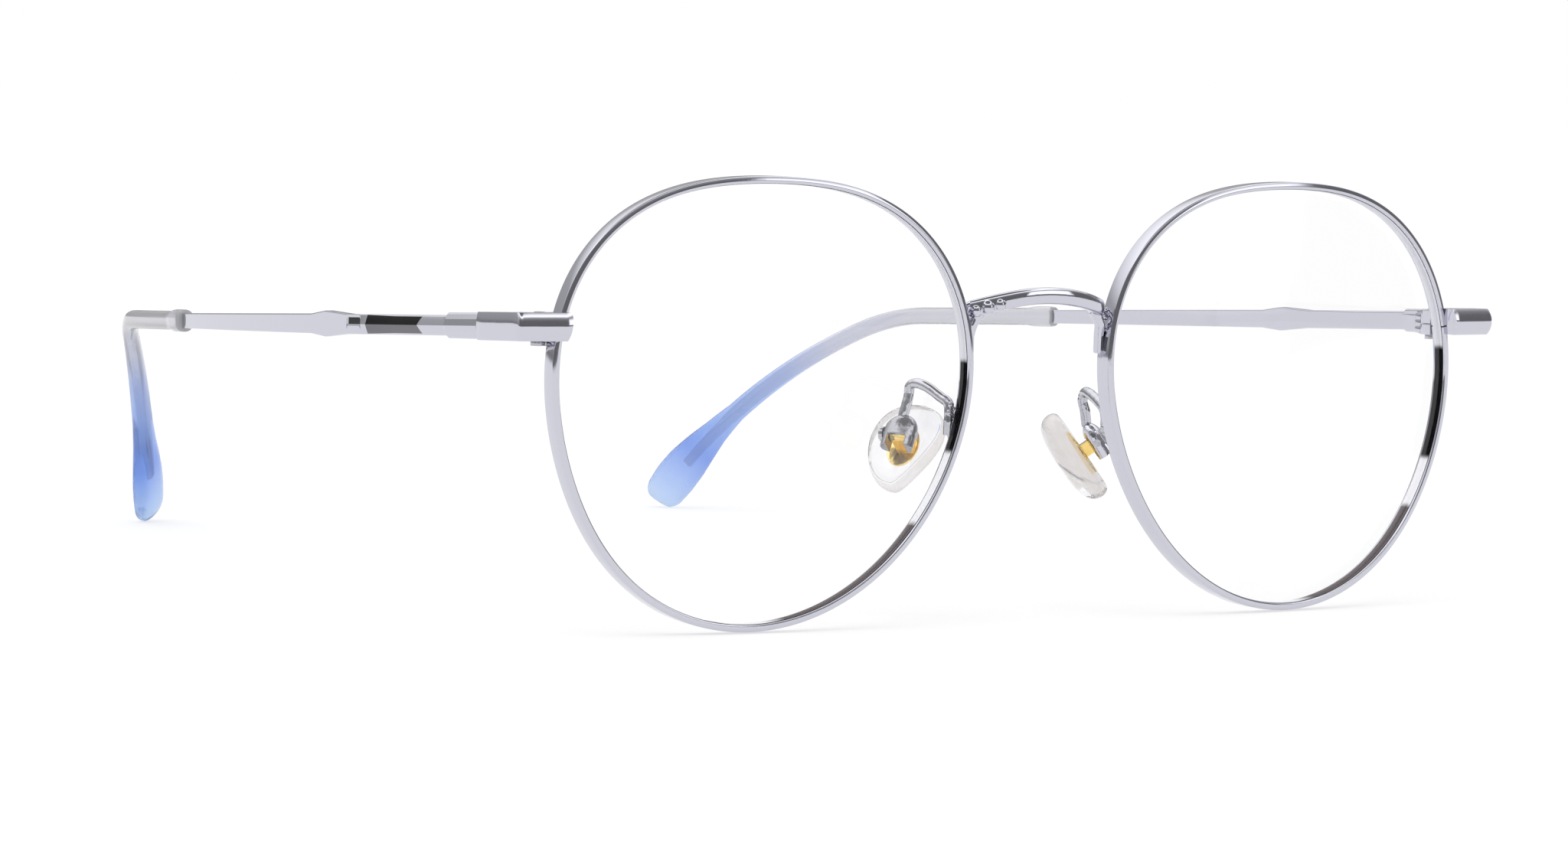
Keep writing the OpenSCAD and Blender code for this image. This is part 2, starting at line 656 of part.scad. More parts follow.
outer_stops = concat(
  [tip_at + 0.5, collar_end, collar_end + collar_fall],
  [for (k = [1 : outer_steps])
    collar_end + collar_fall + k * (temple_len - 2 - collar_end - collar_fall) / outer_steps]);
outer_rings = concat(
  [temple_ring(tip_at - 0.2, tip_profile(tip_at, 0.7)), temple_ring(tip_at, tip_profile(tip_at, 0.86))],
  [for (s = outer_stops) temple_ring(s, tip_profile(s, 1), roll_at(s))],
  [temple_ring(temple_len - 1, tip_profile(temple_len - 1, 0.9), tip_roll),
   temple_ring(temple_len - 0.3, tip_profile(temple_len, 0.62), tip_roll)]);
tip_rings = concat(
  [for (s = bore_stops) temple_ring(s + wire_gap, strip_profile(s, wire_gap))],
  [temple_ring(tip_at - 0.2, strip_profile(tip_at, wire_gap))],
  outer_rings);
module temple_tip() {
  skin(tip_rings);
}

// Nose pad group, drawn about its screw: X away from the nose, Y backwards, Z up the pad

// side is 1 on the wearer's left and -1 on the right
function pad_low(side) = pad_z + side * pad_uneven / 2;
module at_pad(side) {
  translate([pad_x, pad_y, -pad_low(side)])
    rotate([0, 0, -pad_splay]) rotate([0, -pad_tilt, 0]) children();
}
function from_pad(p, side) =
  let (x = p[0] * cos(pad_tilt) - p[2] * sin(pad_tilt),
       z = p[0] * sin(pad_tilt) + p[2] * cos(pad_tilt))
  [pad_x + x * cos(pad_splay) + p[1] * sin(pad_splay),
   pad_y - x * sin(pad_splay) + p[1] * cos(pad_splay), z - pad_low(side)];
module nose_pad(side) {
  // Share of the outline and share of the thickness, from the back face to the nose side
  levels = [[0.8, 0], [0.93, 0.08], [1, 0.3], [0.96, 0.58], [0.84, 0.8], [0.6, 0.94]];
  // Rear side full, front side slanting in towards the bottom
  function half_w(a) = pad_w * (cos(a) > 0 ? 0.52 + 0.06 * sin(a) : 0.44 + 0.27 * sin(a));
  function pad_ring(share, depth) = [
    for (k = [0 : pad_steps - 1])
      let (a = k * 360 / pad_steps)
      [-pad_stand - depth * pad_t, pad_shift + share * half_w(a) * cos(a), share * pad_len / 2 * sin(a)]
  ];
  at_pad(side) skin(
    [for (v = levels) pad_ring(v[0], v[1])],
    [-pad_stand, pad_shift, 0], [-pad_stand - pad_t, pad_shift, 0]);
}
plate_deep = 0.5; // depth of the plate inside the pad
module pad_core(side) {
  plate_x = -pad_stand - plate_deep;
  at_pad(side) difference() {
    union() {
      translate([plate_x, pad_shift, 0]) rotate([0, -90, 0]) linear_extrude(plate_t)
        polygon([for (k = [0 : 31]) [plate_len / 2 * cos(k * 11.25), plate_w / 2 * sin(k * 11.25)]]);
      translate([0, -tab_w / 2, 0]) rotate([-90, 0, 0]) cylinder(r = tab_r, h = tab_w);
      translate([plate_x - plate_t / 2, -tab_w / 2, -tab_r])
        cube([plate_t / 2 - plate_x, tab_w, 2 * tab_r]);
    }
    translate([0, -tab_w, 0]) rotate([-90, 0, 0]) cylinder(r = pad_screw_r + running, h = 2 * tab_w);
  }
}
box_slot_w = tab_w + 2 * running + 0.1;
box_w = box_slot_w + 2 * box_wall;
box_slot_x = tab_r + 0.08;
box_back_t = 0.35;
box_back_x = box_slot_x + box_back_t;
box_front_x = -0.9;
box_back_low = 0.55; // depth of the back wall below the pad screw
module pad_box(side) {
  at_pad(side) difference() {
    intersection() {
      translate([0, box_w / 2, 0]) rotate([90, 0, 0]) linear_extrude(box_w) box_side();
      translate([box_front_x - 1, 0, 0]) rotate([90, 0, 90]) linear_extrude(4) box_back();
    }
    translate([box_front_x - 1, -box_slot_w / 2, -box_down - 1])
      cube([box_slot_x - box_front_x + 1, box_slot_w, box_down + 1 + tab_r + box_back_t]);
    translate([box_front_x - 1, -box_slot_w / 2, -box_down - 1])
      cube([4, box_slot_w, box_down + 1 - box_back_low]);
    translate([0, -box_w, 0]) rotate([-90, 0, 0]) cylinder(r = pad_screw_r + screw_fit, h = 2 * box_w);
  }
}
module box_side() {
  mid = (box_front_x + box_back_x) / 2;
  r = (box_back_x - box_front_x) / 2;
  union() {
    translate([box_front_x, -box_down]) square([box_back_x - box_front_x, box_up + box_down - r]);
    translate([mid, box_up - r]) circle(r = r);
  }
}
module box_back() {
  union() {
    translate([-box_w / 2, -box_down]) square([box_w, box_up + box_down - box_w / 2]);
    translate([0, box_up - box_w / 2]) circle(r = box_w / 2);
  }
}
module pad_screw(side) {
  head_h = 0.45;
  slot_w = 0.25;
  at_pad(side) difference() {
    union() {
      translate([0, -box_w / 2, 0]) rotate([-90, 0, 0]) cylinder(r = pad_screw_r, h = box_w + head_h / 2);
      translate([0, box_w / 2 + screw_fit, 0]) rotate([-90, 0, 0]) cylinder(r = pad_head_r, h = head_h);
    }
    translate([-slot_w / 2, box_w / 2 + head_h / 2, -pad_head_r - 1])
      cube([slot_w, 1, 2 * pad_head_r + 2]);
  }
}

// Pad arm: foot on the back of the rim, a loop, and down into the top of the pad box

foot_low_z = -4.5;
foot_rim = rim_point(nasal_angle(foot_low_z), 0, rim_depth);
foot_line = [foot_rim[0] + rim_wall / 2 + 0.1, foot_rim[1] + arm_r - solder];
function foot_point(up) = [foot_line[0], foot_line[1] - 0.02 * up, foot_low_z + up];
function arm_knots(side) =
  let (top = arm_top_z - side * pad_uneven / 2, foot = foot_len - side * pad_uneven / 3)
  [
    foot_point(0), foot_point(foot * 0.55), foot_point(foot) + [-0.1, 0.3, 0],
    foot_point(foot + 0.5) + [0.1, 1.4, 0],
    [pad_x - 2.1, pad_y - 2, top - 0.4], [pad_x - 1.75, pad_y - 0.2, top],
    [pad_x - 1.45, pad_y + 0.6, top - 0.4], [pad_x - 1.5, pad_y + 0.8, top - 1.2],
    [pad_x - 1.2, pad_y + 0.65, top - 2.1], from_pad([0.1, 0.3, box_up - 0.3], side)
  ];
function blend(a, b, c, d, f) =
  0.5 * (2 * b + (c - a) * f + (2 * a - 5 * b + 4 * c - d) * f * f
         + (3 * b - a - 3 * c + d) * f * f * f);
module pad_arm(side) {
  loop_side = [cos(20), -sin(20), 0];
  knots = arm_knots(side);
  knot_last = len(knots) - 1;
  line = concat(
    [for (k = [0 : knot_last - 1], f = [0, 1 / 3, 2 / 3])
      blend(knots[max(k - 1, 0)], knots[k], knots[k + 1], knots[min(k + 2, knot_last)], f)],
    [knots[knot_last]]);
  last = len(line) - 1;
  rings = [
    for (k = [0 : last])
      let (along = line[min(k + 1, last)] - line[max(k - 1, 0)],
           up = cross(along, loop_side), u = up / norm(up),
           across = cross(u, along), v = across / norm(across))
      [for (i = [0 : wire_sides - 1])
        line[k] + arm_r * (cos(i * 360 / wire_sides) * v + sin(i * 360 / wire_sides) * u)]
  ];
  skin(rings);
}

// Table height and middle depth, so that the frame stands on Z = 0 about the origin
all_tip = [for (r = tip_rings) each r];
rim_points = [for (r = rim_rings) each r];
base_z = min(min([for (p = rim_points) p[2]]), min([for (p = all_tip) p[2]]));
front_y = bar_y - bar_t / 2;
rear_y = max([for (p = all_tip) p[1]]);
module stand() {
  translate([0, -(front_y + rear_y) / 2, -base_z]) children();
}
module left(shade) {
  color(shade) stand() children();
}
module right(shade) {
  color(shade) stand() mirror([1, 0, 0]) children();
}

module rim_left() { left(chrome) rim(); }
module rim_right() { right(chrome) rim(); }
module lens_left() { left(clear) lens(); }
module lens_right() { right(clear) lens(); }
module bridge() {
  color(chrome) stand() bridge_body();
}
module endpiece_left() { left(chrome) endpiece(); }
module endpiece_right() { right(chrome) endpiece(); }
module rim_lock_upper() {
  low = lock_z + lock_gap / 2;
  lock_block(low, low + lock_upper_h, lock_screw_r + screw_fit);
}
module rim_lock_lower() {
  high = lock_z - lock_gap / 2;
  lock_block(high - lock_lower_h, high, lock_screw_r + running);
}
module rim_lock_upper_left() { left(chrome) rim_lock_upper(); }
module rim_lock_upper_right() { right(chrome) rim_lock_upper(); }
module rim_lock_lower_left() { left(chrome) rim_lock_lower(); }
module rim_lock_lower_right() { right(chrome) rim_lock_lower(); }
module rim_lock_screw_left() { left(dark_chrome) rim_lock_screw(); }
module rim_lock_screw_right() { right(dark_chrome) rim_lock_screw(); }
module front_hinge_left() { left(chrome) front_hinge(); }
module front_hinge_right() { right(chrome) front_hinge(); }
module temple_hinge_left() { left(chrome) temple_hinge(); }
module temple_hinge_right() { right(chrome) temple_hinge(); }
module hinge_screw_left() { left(dark_chrome) hinge_screw(); }
module hinge_screw_right() { right(dark_chrome) hinge_screw(); }
module temple_left() { left(chrome) temple(); }
module temple_right() { right(chrome) temple(); }
module temple_tip_left() { left(tip_blue) temple_tip(); }
module temple_tip_right() { right(tip_blue) temple_tip(); }
module pad_arm_left() { left(chrome) pad_arm(1); }
module pad_arm_right() { right(chrome) pad_arm(-1); }
module pad_box_left() { left(chrome) pad_box(1); }
module pad_box_right() { right(chrome) pad_box(-1); }
module pad_screw_left() { left(dark_chrome) pad_screw(1); }
module pad_screw_right() { right(dark_chrome) pad_screw(-1); }
module pad_core_left() { left(gold) pad_core(1); }
module pad_core_right() { right(gold) pad_core(-1); }
module nose_pad_left() { left(pad_clear) nose_pad(1); }
module nose_pad_right() { right(pad_clear) nose_pad(-1); }

rim_left();
rim_right();
lens_left();
lens_right();
bridge();
endpiece_left();
endpiece_right();
rim_lock_upper_left();
rim_lock_upper_right();
rim_lock_lower_left();
rim_lock_lower_right();
rim_lock_screw_left();
rim_lock_screw_right();
front_hinge_left();
front_hinge_right();
temple_hinge_left();
temple_hinge_right();
hinge_screw_left();
hinge_screw_right();
temple_left();
temple_right();
temple_tip_left();
temple_tip_right();
pad_arm_left();
pad_arm_right();
pad_box_left();
pad_box_right();
pad_screw_left();
pad_screw_right();
pad_core_left();
pad_core_right();
nose_pad_left();
nose_pad_right();
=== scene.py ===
"""Looks of the round eyeglass frame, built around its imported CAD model.

Shapes are worked out in millimetres about the middle of the face, on the wearer's left,
and then set in the row frame, mirrored for the wearer's right.
"""

import math

import bmesh
import bpy
import numpy as np
from mathutils import Matrix, Vector


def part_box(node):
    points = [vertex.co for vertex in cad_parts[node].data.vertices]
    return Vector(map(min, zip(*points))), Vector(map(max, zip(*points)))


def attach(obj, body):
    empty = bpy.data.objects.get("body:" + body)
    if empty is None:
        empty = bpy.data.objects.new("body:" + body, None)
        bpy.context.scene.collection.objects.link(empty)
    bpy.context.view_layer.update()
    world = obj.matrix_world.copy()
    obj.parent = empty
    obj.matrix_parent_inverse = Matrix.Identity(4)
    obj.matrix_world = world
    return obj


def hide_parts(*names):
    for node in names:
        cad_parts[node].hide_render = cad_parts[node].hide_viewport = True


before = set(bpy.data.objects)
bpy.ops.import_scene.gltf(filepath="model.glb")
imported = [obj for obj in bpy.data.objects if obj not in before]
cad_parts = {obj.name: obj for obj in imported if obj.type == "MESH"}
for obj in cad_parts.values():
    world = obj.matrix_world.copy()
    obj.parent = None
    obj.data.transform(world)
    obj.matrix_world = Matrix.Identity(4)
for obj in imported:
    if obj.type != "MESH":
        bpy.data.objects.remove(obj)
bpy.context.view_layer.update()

MM = 0.001
SIDES = {"left": 1, "right": -1}

# Rims
rim_w = 50.4
rim_h = 47.95
rim_x = 34.65
rim_depth = 2.03
rim_wall = 0.76
rim_round = 0.14
rim_crown = 0.05
groove_depth = 0.4
groove_w = 0.8
groove_floor_w = 0.16
wrap = 3.6
face_r = 122
flat_top = 0.034
squareness = -0.011
lean = -0.0136
egg = -0.009

# Lenses
lens_t = 1.3
bevel_w = 0.64
lens_gap = 0.05
bevel_gap = 0.07

# Bridge
bridge_rise = 10.62
bar_y = 0.43
arch_fall = 1.45
bow_back = 1.9
bar_h = 1.75
bar_t = 1.3
bar_setback = 0.6
leg_w = 0.85
leg_t = 1.1
leg_foot_z = 4.2
leg_mid_up = 1.2
bar_swell = 1.05
bar_more = 0.5
lumps_down = 0.25
lumps_out = 0.3

# Endpieces
end_h = 2.93
end_z = 7.4
end_lap = 0.6
end_slant = 0.4
end_turn = 6
end_reach = 5.55
end_back = 7.3
end_front_t = 1.8
end_side_t = 1.15
end_crown = 0.6
side_crown = 0.2
end_corner_r = 0.5
end_inner_r = 0.4
end_edge = 0.09

# Joint of the rim
lock_z = 7
lock_gap = 0.1

# Temples
temple_len = 144.2
splay = 5.7
temple_bow_r = 272
slope = 2.8
bend_at = 95.6
bend_len = 10.4
bend_swing = 31
end_swing = 32.5
bend_drop = 25
end_drop = 55
butt_h = 2.75
butt_taper = 0.07
neck_h = 2.15
flare_h = 2.83
tail_h = 1.72
wire_h = 1.2
butt_t = 1.35
inset_t = 1.2
tail_t = 0.9
wire_t = 0.8
butt_len = 6
roof_len = 4.3
facet_len = 11.3
inset_gap = 1.3
inset_len = 2.5
inset_depth = 0.15
facet_crown = 0.4
facet_end_crown = 0.35
gap_crown = 0.05
plain_crown = 0.01
dark_point = 0.7
strip_edge = 0.18
plain_edge = 0.07
strip_bevel = 0.05
butt_roof = 0.28
strip_roof = 0.5
inset_low = 0.12
inset_high = 0.68
flare_len = 8.6
flare_peak = 5.2
wire_short = 7

# Tips
tip_at = 72.9
collar_len = 3.2
collar_h = 2.6
collar_fall = 1.2
tip_h = 2.2
tip_t = 1.9
paddle_t = 2.3
paddle_h = 5.6
paddle_len = 17
tip_roll = 26
roll_len = 20
end_round = 2.3

# Nose pads
pad_x = 13.1
pad_y = 8.6
pad_z = 5.4
pad_uneven = 1.2
pad_splay = 33
pad_tilt = 36
pad_len = 11.1
pad_w = 8.2
pad_t = 3.3
pad_shift = 0.4
pad_stand = 1.7
nasal_w = 0.44
nasal_lean = 0.27
outer_w = 0.52
outer_lean = 0.06
box_up = 2.35
box_down = 1.8
box_back_low = 0.55
box_slot_w = 2.1
box_slot_top = 1.1
box_cheek_t = 0.8
box_back_t = 0.45
box_mid_x = 0.14
box_half_x = 1.08
box_dome_z = 0.4
arm_r = 0.45
arm_swell = 1.27
arm_top_z = 0.2
foot_len = 3
foot_low_z = -4.5

# Fits
solder = 0.06
butt_gap = 0.12


def cosd(a):
    """Cosine of an angle in degrees."""
    return math.cos(math.radians(a))


def sind(a):
    """Sine of an angle in degrees."""
    return math.sin(math.radians(a))


def vec(*values):
    """Numbers as one numpy row."""
    return np.array(values, float)


def unit(v):
    """The direction of v."""
    return v / np.linalg.norm(v)


# Rim outline, as in the CAD source
rim_r = (rim_w + rim_h) / 4 / (1 + squareness)
oval = (rim_w - rim_h) / 4 / rim_r


def outline_r(a):
    """Radius of the rim's outside at angle a."""
    share = 1 + oval * cosd(2 * a) + lean * sind(2 * a) + egg * cosd(3 * a)
    return rim_r * (share + flat_top * sind(3 * a) + squareness * cosd(4 * a))


def on_face(u, v, back):
    """Point of the rim's curved face, u outwards and v up from its centre."""
    y = (u * u + v * v) / (2 * face_r) + back
    return vec(rim_x + u * cosd(wrap) - y * sind(wrap), u * sind(wrap) + y * cosd(wrap), v)


def rim_point(a, inset, back):
    """Point of the rim at angle a, inset from its outside and back from its front."""
    r = outline_r(a) - inset
    return on_face(r * cosd(a), r * sind(a), back)


def side_angle(height, start):
    """Angle of the rim's outside at a height, on its outer side (0) or its nasal side (180)."""
    a = start
    turn = 1 if start == 0 else -1
    for _ in range(9):
        a = start + turn * math.degrees(math.asin(height / outline_r(a)))
    return a


split_a = side_angle(lock_z, 0)
end_rim = rim_point(side_angle(end_z, 0), 0, 0)
end_face_y = end_rim[1] + solder
end_outer_x = end_rim[0] + end_reach
end_inner_x = end_outer_x - end_side_t - side_crown
split_y = end_rim[1] + end_back
strip_z = end_z - (split_y - end_face_y) * math.tan(math.radians(slope))

# The CAD model stands on the rims' lowest point, and its front is the bridge bar's
rim_low = min(rim_point(a / 2, 0, rim_depth / 2)[2] for a in range(720))
stand = Vector((0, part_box("bridge")[0].y / MM - bar_y + bar_t / 2,
                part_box("rim_left")[0].z / MM - rim_low))


def skin(rings):
    """Vertices and faces of a tube over equal rings of points, with flat ends."""
    count = len(rings[0])
    verts = [tuple(p) for ring in rings for p in ring]
    faces = []
    for k in range(len(rings) - 1):
        a = k * count
        b = a + count
        for i in range(count):
            j = (i + 1) % count
            faces.append((a + i, a + j, b + j, b + i))
    faces.append(tuple(range(count - 1, -1, -1)))
    faces.append(tuple(range(len(verts) - count, len(verts))))
    return verts, faces


def ball(centre, radius):
    """Small ball, for solder lumps."""
    steps = 10
    sides = 12
    turns = [2 * math.pi * i / sides for i in range(sides)]
    rings = []
    for k in range(1, steps):
        b = math.pi * k / steps
        rings.append([vec(*centre) + radius * vec(
            math.sin(b) * math.cos(t), math.sin(b) * math.sin(t), math.cos(b)) for t in turns])
    return skin(rings)


def join(parts):
    """Several vertex and face lists as one."""
    verts = []
    faces = []
    for more_verts, more_faces in parts:
        start = len(verts)
        verts.extend(more_verts)
        faces.extend(tuple(i + start for i in face) for face in more_faces)
    return verts, faces


def shaped(name, verts, faces, side, materials, nodes, body, slot, **extra):
    """A piece made in millimetres, with its modifiers applied, that stands for CAD nodes."""
    mesh = bpy.data.meshes.new(name)
    mesh.from_pydata(verts, [], faces)
    for material in materials:
        mesh.materials.append(material)
    if "face_materials" in extra:
        mesh.polygons.foreach_set("material_index", extra["face_materials"])
    for title, values in extra.get("values", {}).items():
        attribute = mesh.attributes.new(title, "FLOAT", "POINT")
        attribute.data.foreach_set("value", np.array(values, np.float32))
    obj = bpy.data.objects.new(name, mesh)
    bpy.context.scene.collection.objects.link(obj)
    for kind, settings in extra.get("modifiers", ()):
        modifier = obj.modifiers.new(kind.title(), kind)
        for key, value in settings.items():
            setattr(modifier, key, value)
    graph = bpy.context.evaluated_depsgraph_get()
    final = bpy.data.meshes.new_from_object(obj.evaluated_get(graph))
    obj.modifiers.clear()
    obj.data = final
    bpy.data.meshes.remove(mesh)
    final.name = name
    final.transform(Matrix.Diagonal((side * MM, MM, MM, 1)) @ Matrix.Translation(stand))
    edit = bmesh.new()
    edit.from_mesh(final)
    bmesh.ops.recalc_face_normals(edit, faces=edit.faces)
    edit.to_mesh(final)
    edit.free()
    final.shade_smooth()
    final.set_sharp_from_angle(angle=math.radians(extra.get("sharp", 35)))
    if not final.materials:
        final.materials.append(materials[0])
    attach(obj, body)
    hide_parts(*nodes)


# Materials


def new_material(name):
    """A material with its nodes, links and shader."""
    material = bpy.data.materials.new(name)
    material.use_nodes = True
    tree = material.node_tree
    return material, tree.nodes, tree.links, tree.nodes["Principled BSDF"]


def add_noise(nodes, links, scale, detail):
    """Noise in the object's own space, scale in waves per metre."""
    coords = nodes.new("ShaderNodeTexCoord")
    noise = nodes.new("ShaderNodeTexNoise")
    noise.inputs["Scale"].default_value = scale
    noise.inputs["Detail"].default_value = detail
    links.new(coords.outputs["Object"], noise.inputs["Vector"])
    return noise.outputs["Fac"]


def map_range(nodes, links, source, start, end, low=0, high=1):
    """A value's range from start to end laid over low to high."""
    span = nodes.new("ShaderNodeMapRange")
    span.inputs["From Min"].default_value = start
    span.inputs["From Max"].default_value = end
    span.inputs["To Min"].default_value = low
    span.inputs["To Max"].default_value = high
    links.new(source, span.inputs["Value"])
    return span.outputs["Result"]


def spread(nodes, links, noise, low, high):
    """The noise's middle range spread over low to high."""
    return map_range(nodes, links, noise, 0.3, 0.7, low, high)


def add_bump(nodes, links, shader, source, height):
    """Bump of a height in metres."""
    bump = nodes.new("ShaderNodeBump")
    bump.inputs["Strength"].default_value = 1
    bump.inputs["Distance"].default_value = height
    links.new(source, bump.inputs["Height"])
    links.new(bump.outputs["Normal"], shader.inputs["Normal"])


def metal(name, colour, rough, wave=300, wave_height=0.000012):
    """Plated metal: polish marks in its roughness and a faint ripple in its surface."""
    material, nodes, links, shader = new_material(name)
    shader.inputs["Base Color"].default_value = (*colour, 1)
    shader.inputs["Metallic"].default_value = 1
    marks = add_noise(nodes, links, 2600, 5)
    links.new(spread(nodes, links, marks, rough * 0.6, rough * 1.5), shader.inputs["Roughness"])
    add_bump(nodes, links, shader, add_noise(nodes, links, wave, 2), wave_height)
    return material


def add_ramp(nodes, links, source, stops):
    """Colours at stops of a value."""
    ramp = nodes.new("ShaderNodeValToRGB")
    bands = ramp.color_ramp.elements
    bands[1].position = stops[-1][0]
    bands[1].color = (*stops[-1][1], 1)
    bands[0].position = stops[0][0]
    bands[0].color = (*stops[0][1], 1)
    for position, colour in stops[1:-1]:
        bands.new(position).color = (*colour, 1)
    links.new(source, ramp.inputs["Fac"])
    return ramp.outputs["Color"]


def value_of(nodes, title):
    """One of the mesh's own values."""
    value = nodes.new("ShaderNodeAttribute")
    value.attribute_name = title
    return value.outputs["Fac"]


def plastic(name, attribute, stops, rough, clear, bend, gloss=0, ripple=0.000008):
    """Plastic whose tint follows one of the mesh's values, clear or milky by a share."""
    material, nodes, links, shader = new_material(name)
    shader.inputs["Transmission Weight"].default_value = clear
    shader.inputs["IOR"].default_value = bend
    shader.inputs["Coat Weight"].default_value = gloss
    links.new(add_ramp(nodes, links, value_of(nodes, attribute), stops),
              shader.inputs["Base Color"])
    marks = add_noise(nodes, links, 900, 3)
    links.new(spread(nodes, links, marks, rough * 0.8, rough * 1.2), shader.inputs["Roughness"])
    add_bump(nodes, links, shader, add_noise(nodes, links, 500, 2), ripple)
    return material


chrome = metal("chrome", (0.6, 0.6, 0.67), 0.07)
worn_chrome = metal("worn_chrome", (0.52, 0.52, 0.57), 0.045, 1500, 0.00003)
# The right cup's chrome is a darkened copy of the left cup's: painted dark reflection.
box_chrome = {"left": metal("box_chrome_left", (0.62, 0.62, 0.68), 0.045, 900, 0.00005),
              "right": metal("box_chrome_right_painted_reflection", (0.36, 0.36, 0.39), 0.045, 900, 0.00005)}
# Dark and black metal are painted reflection on the temple's facets and painted shade in its inset
# and at the rim's joint.
dark_reflection_metal = metal("painted_dark_reflection", (0.17, 0.165, 0.18), 0.16)
black_shade_and_reflection = metal("painted_black_shade_and_reflection", (0.018, 0.018, 0.02), 0.2)
screw_steel = metal("screw_steel", (0.5, 0.5, 0.54), 0.18)
gold = metal("gold_plating", (0.92, 0.67, 0.23), 0.14)
pad_plastic = plastic("pad_plastic", "border", [(0, (0.93, 0.93, 0.96)), (1, (0.93, 0.93, 0.95))],
                      0.03, 0.97, 1.18, 0.5, 0.000002)
pad_border = plastic("pad_border", "border", [(0, (0.91, 0.89, 0.88)), (1, (0.86, 0.83, 0.82))],
                     0.12, 0.55, 1.2, 0.4, 0.000002)
tip_plastic = plastic("tip_plastic", "along", [
    (0, (0.98, 0.98, 0.99)), (0.35, (0.97, 0.97, 0.99)), (0.52, (0.83, 0.86, 0.98)),
    (0.64, (0.5, 0.63, 0.98)), (0.78, (0.34, 0.52, 0.98)), (0.87, (0.19, 0.36, 0.9)),
    (1, (0.62, 0.78, 1))], 0.12, 0.7, 1.33, 0.15)


def make_edge_painted_reflections(name, heights):
    """Ground edge of a lens with painted reflections and painted shade: pale and dark bands by
    turns between heights above its middle.
    """
    pale = (0.9, 0.9, 0.93)
    black = (0.005, 0.005, 0.006)
    # The dark grey and black bands are painted shade and painted reflections.
    tones = [pale, (0.15, 0.13, 0.135), pale, black, (0.78, 0.78, 0.83)]
    fade = 0.005
    stops = [(0, pale)]
    for height, below, above in zip(heights, tones, tones[1:]):
        place = height / rim_h + 0.5
        stops += [(place - fade, below), (place + fade, above)]
    return plastic(name, "height", stops + [(1, tones[-1])], 0.6, 0, 1.08)


# Heights of the painted reflection and shade bands, set for each side's lens.
lens_edge_painted_reflections = {"left": make_edge_painted_reflections("ground_edge_left", (-23.85, -13.6, -8.2, 4.5)),
               "right": make_edge_painted_reflections("ground_edge_right", (-23.85, -13.8, -6.2, 3.6))}


def make_lens_material():
    """Thin clear lens: mostly see-through, with a faint coated gloss."""
    material, nodes, links, shader = new_material("lens_clear")
    shader.inputs["Base Color"].default_value = (0.98, 0.98, 0.985, 1)
    shader.inputs["IOR"].default_value = 1.5
    shader.inputs["Transmission Weight"].default_value = 1
    shader.inputs["Alpha"].default_value = 0.05
    marks = add_noise(nodes, links, 90, 2)
    links.new(spread(nodes, links, marks, 0.01, 0.03), shader.inputs["Roughness"])
    return material


lens_clear = make_lens_material()


# Rims


def rim_section():
    """Rim profile as inset and depth, from the outer side over the front to the groove and back."""
    turns = [0, 22.5, 45, 67.5, 90]
    r = rim_round
    mid = rim_depth / 2
    section = []
    for t in turns:
        section.append((r - r * cosd(t), r - r * sind(t)))
    for f in (0.2, 0.4, 0.6, 0.8):
        t = r + f * (rim_wall - 2 * r)
        section.append((t, -rim_crown * (1 - (2 * f - 1) ** 2)))
    for t in turns:
        section.append((rim_wall - r + r * sind(t), r - r * cosd(t)))
    section.append((rim_wall, mid - groove_w / 2))
    section.append((rim_wall - groove_depth, mid - groove_floor_w / 2))
    section.append((rim_wall - groove_depth, mid + groove_floor_w / 2))
    section.append((rim_wall, mid + groove_w / 2))
    for t in turns:
        section.append((rim_wall - r + r * cosd(t), rim_depth - r + r * sind(t)))
    for t in turns:
        section.append((r - r * sind(t), rim_depth - r + r * cosd(t)))
    return section


def make_rim(name, side):
    """The eyewire, open at its joint behind the endpiece."""
    section = rim_section()
    steps = 360
    gap_share = 0.9
    half_gap = math.degrees(gap_share * lock_gap / rim_r)
    rings = []
    for k in range(steps + 1):
        a = split_a + half_gap + k * (360 - 2 * half_gap) / steps
        rings.append([rim_point(a, t, d) for t, d in section])
    verts, faces = skin(rings)
    # The rim's two cut ends at its joint are black: painted shade in the joint's gap.
    ends = [0] * (steps * len(section)) + [1, 1]
    shaped(f"rim_{name}_form", verts, faces, side, [chrome, black_shade_and_reflection], [f"rim_{name}"],
           "front", "chrome", face_materials=ends, sharp=40)


def make_lens(name, side):
    """The clear lens in the groove."""
    count = 180
    mid = rim_depth / 2
    inset = rim_wall + lens_gap
    bevel = rim_wall - groove_depth + bevel_gap
    front = mid - lens_t / 2
    rear = mid + lens_t / 2
    loops = [(0.02, inset, front), (0.5, inset, front), (1, inset, front),
             (1, inset, mid - bevel_w / 2), (1, bevel, mid), (1, inset, mid + bevel_w / 2),
             (1, inset, rear), (0.5, inset, rear), (0.02, inset, rear)]
    edge_first = 2
    edge_last = 5
    rings = []
    for share, gap, back in loops:
        ring = []
        for k in range(count):
            a = 360 * k / count
            r = share * (outline_r(a) - gap)
            ring.append(on_face(r * cosd(a), r * sind(a), back))
        rings.append(ring)
    verts, faces = skin(rings)
    # The ground edge's faces, which carry the painted reflection and shade bands.
    edge = [int(edge_first <= i // count <= edge_last) for i in range(len(faces))]
    shaped(f"lens_{name}_form", verts, faces, side, [lens_clear, lens_edge_painted_reflections[name]],
           [f"lens_{name}"], "front", "lens", face_materials=edge, sharp=40,
           values={"height": [v[2] / rim_h + 0.5 for v in verts]})


for side_name, side_sign in SIDES.items():
    make_rim(side_name, side_sign)
    make_lens(side_name, side_sign)


# Bridge

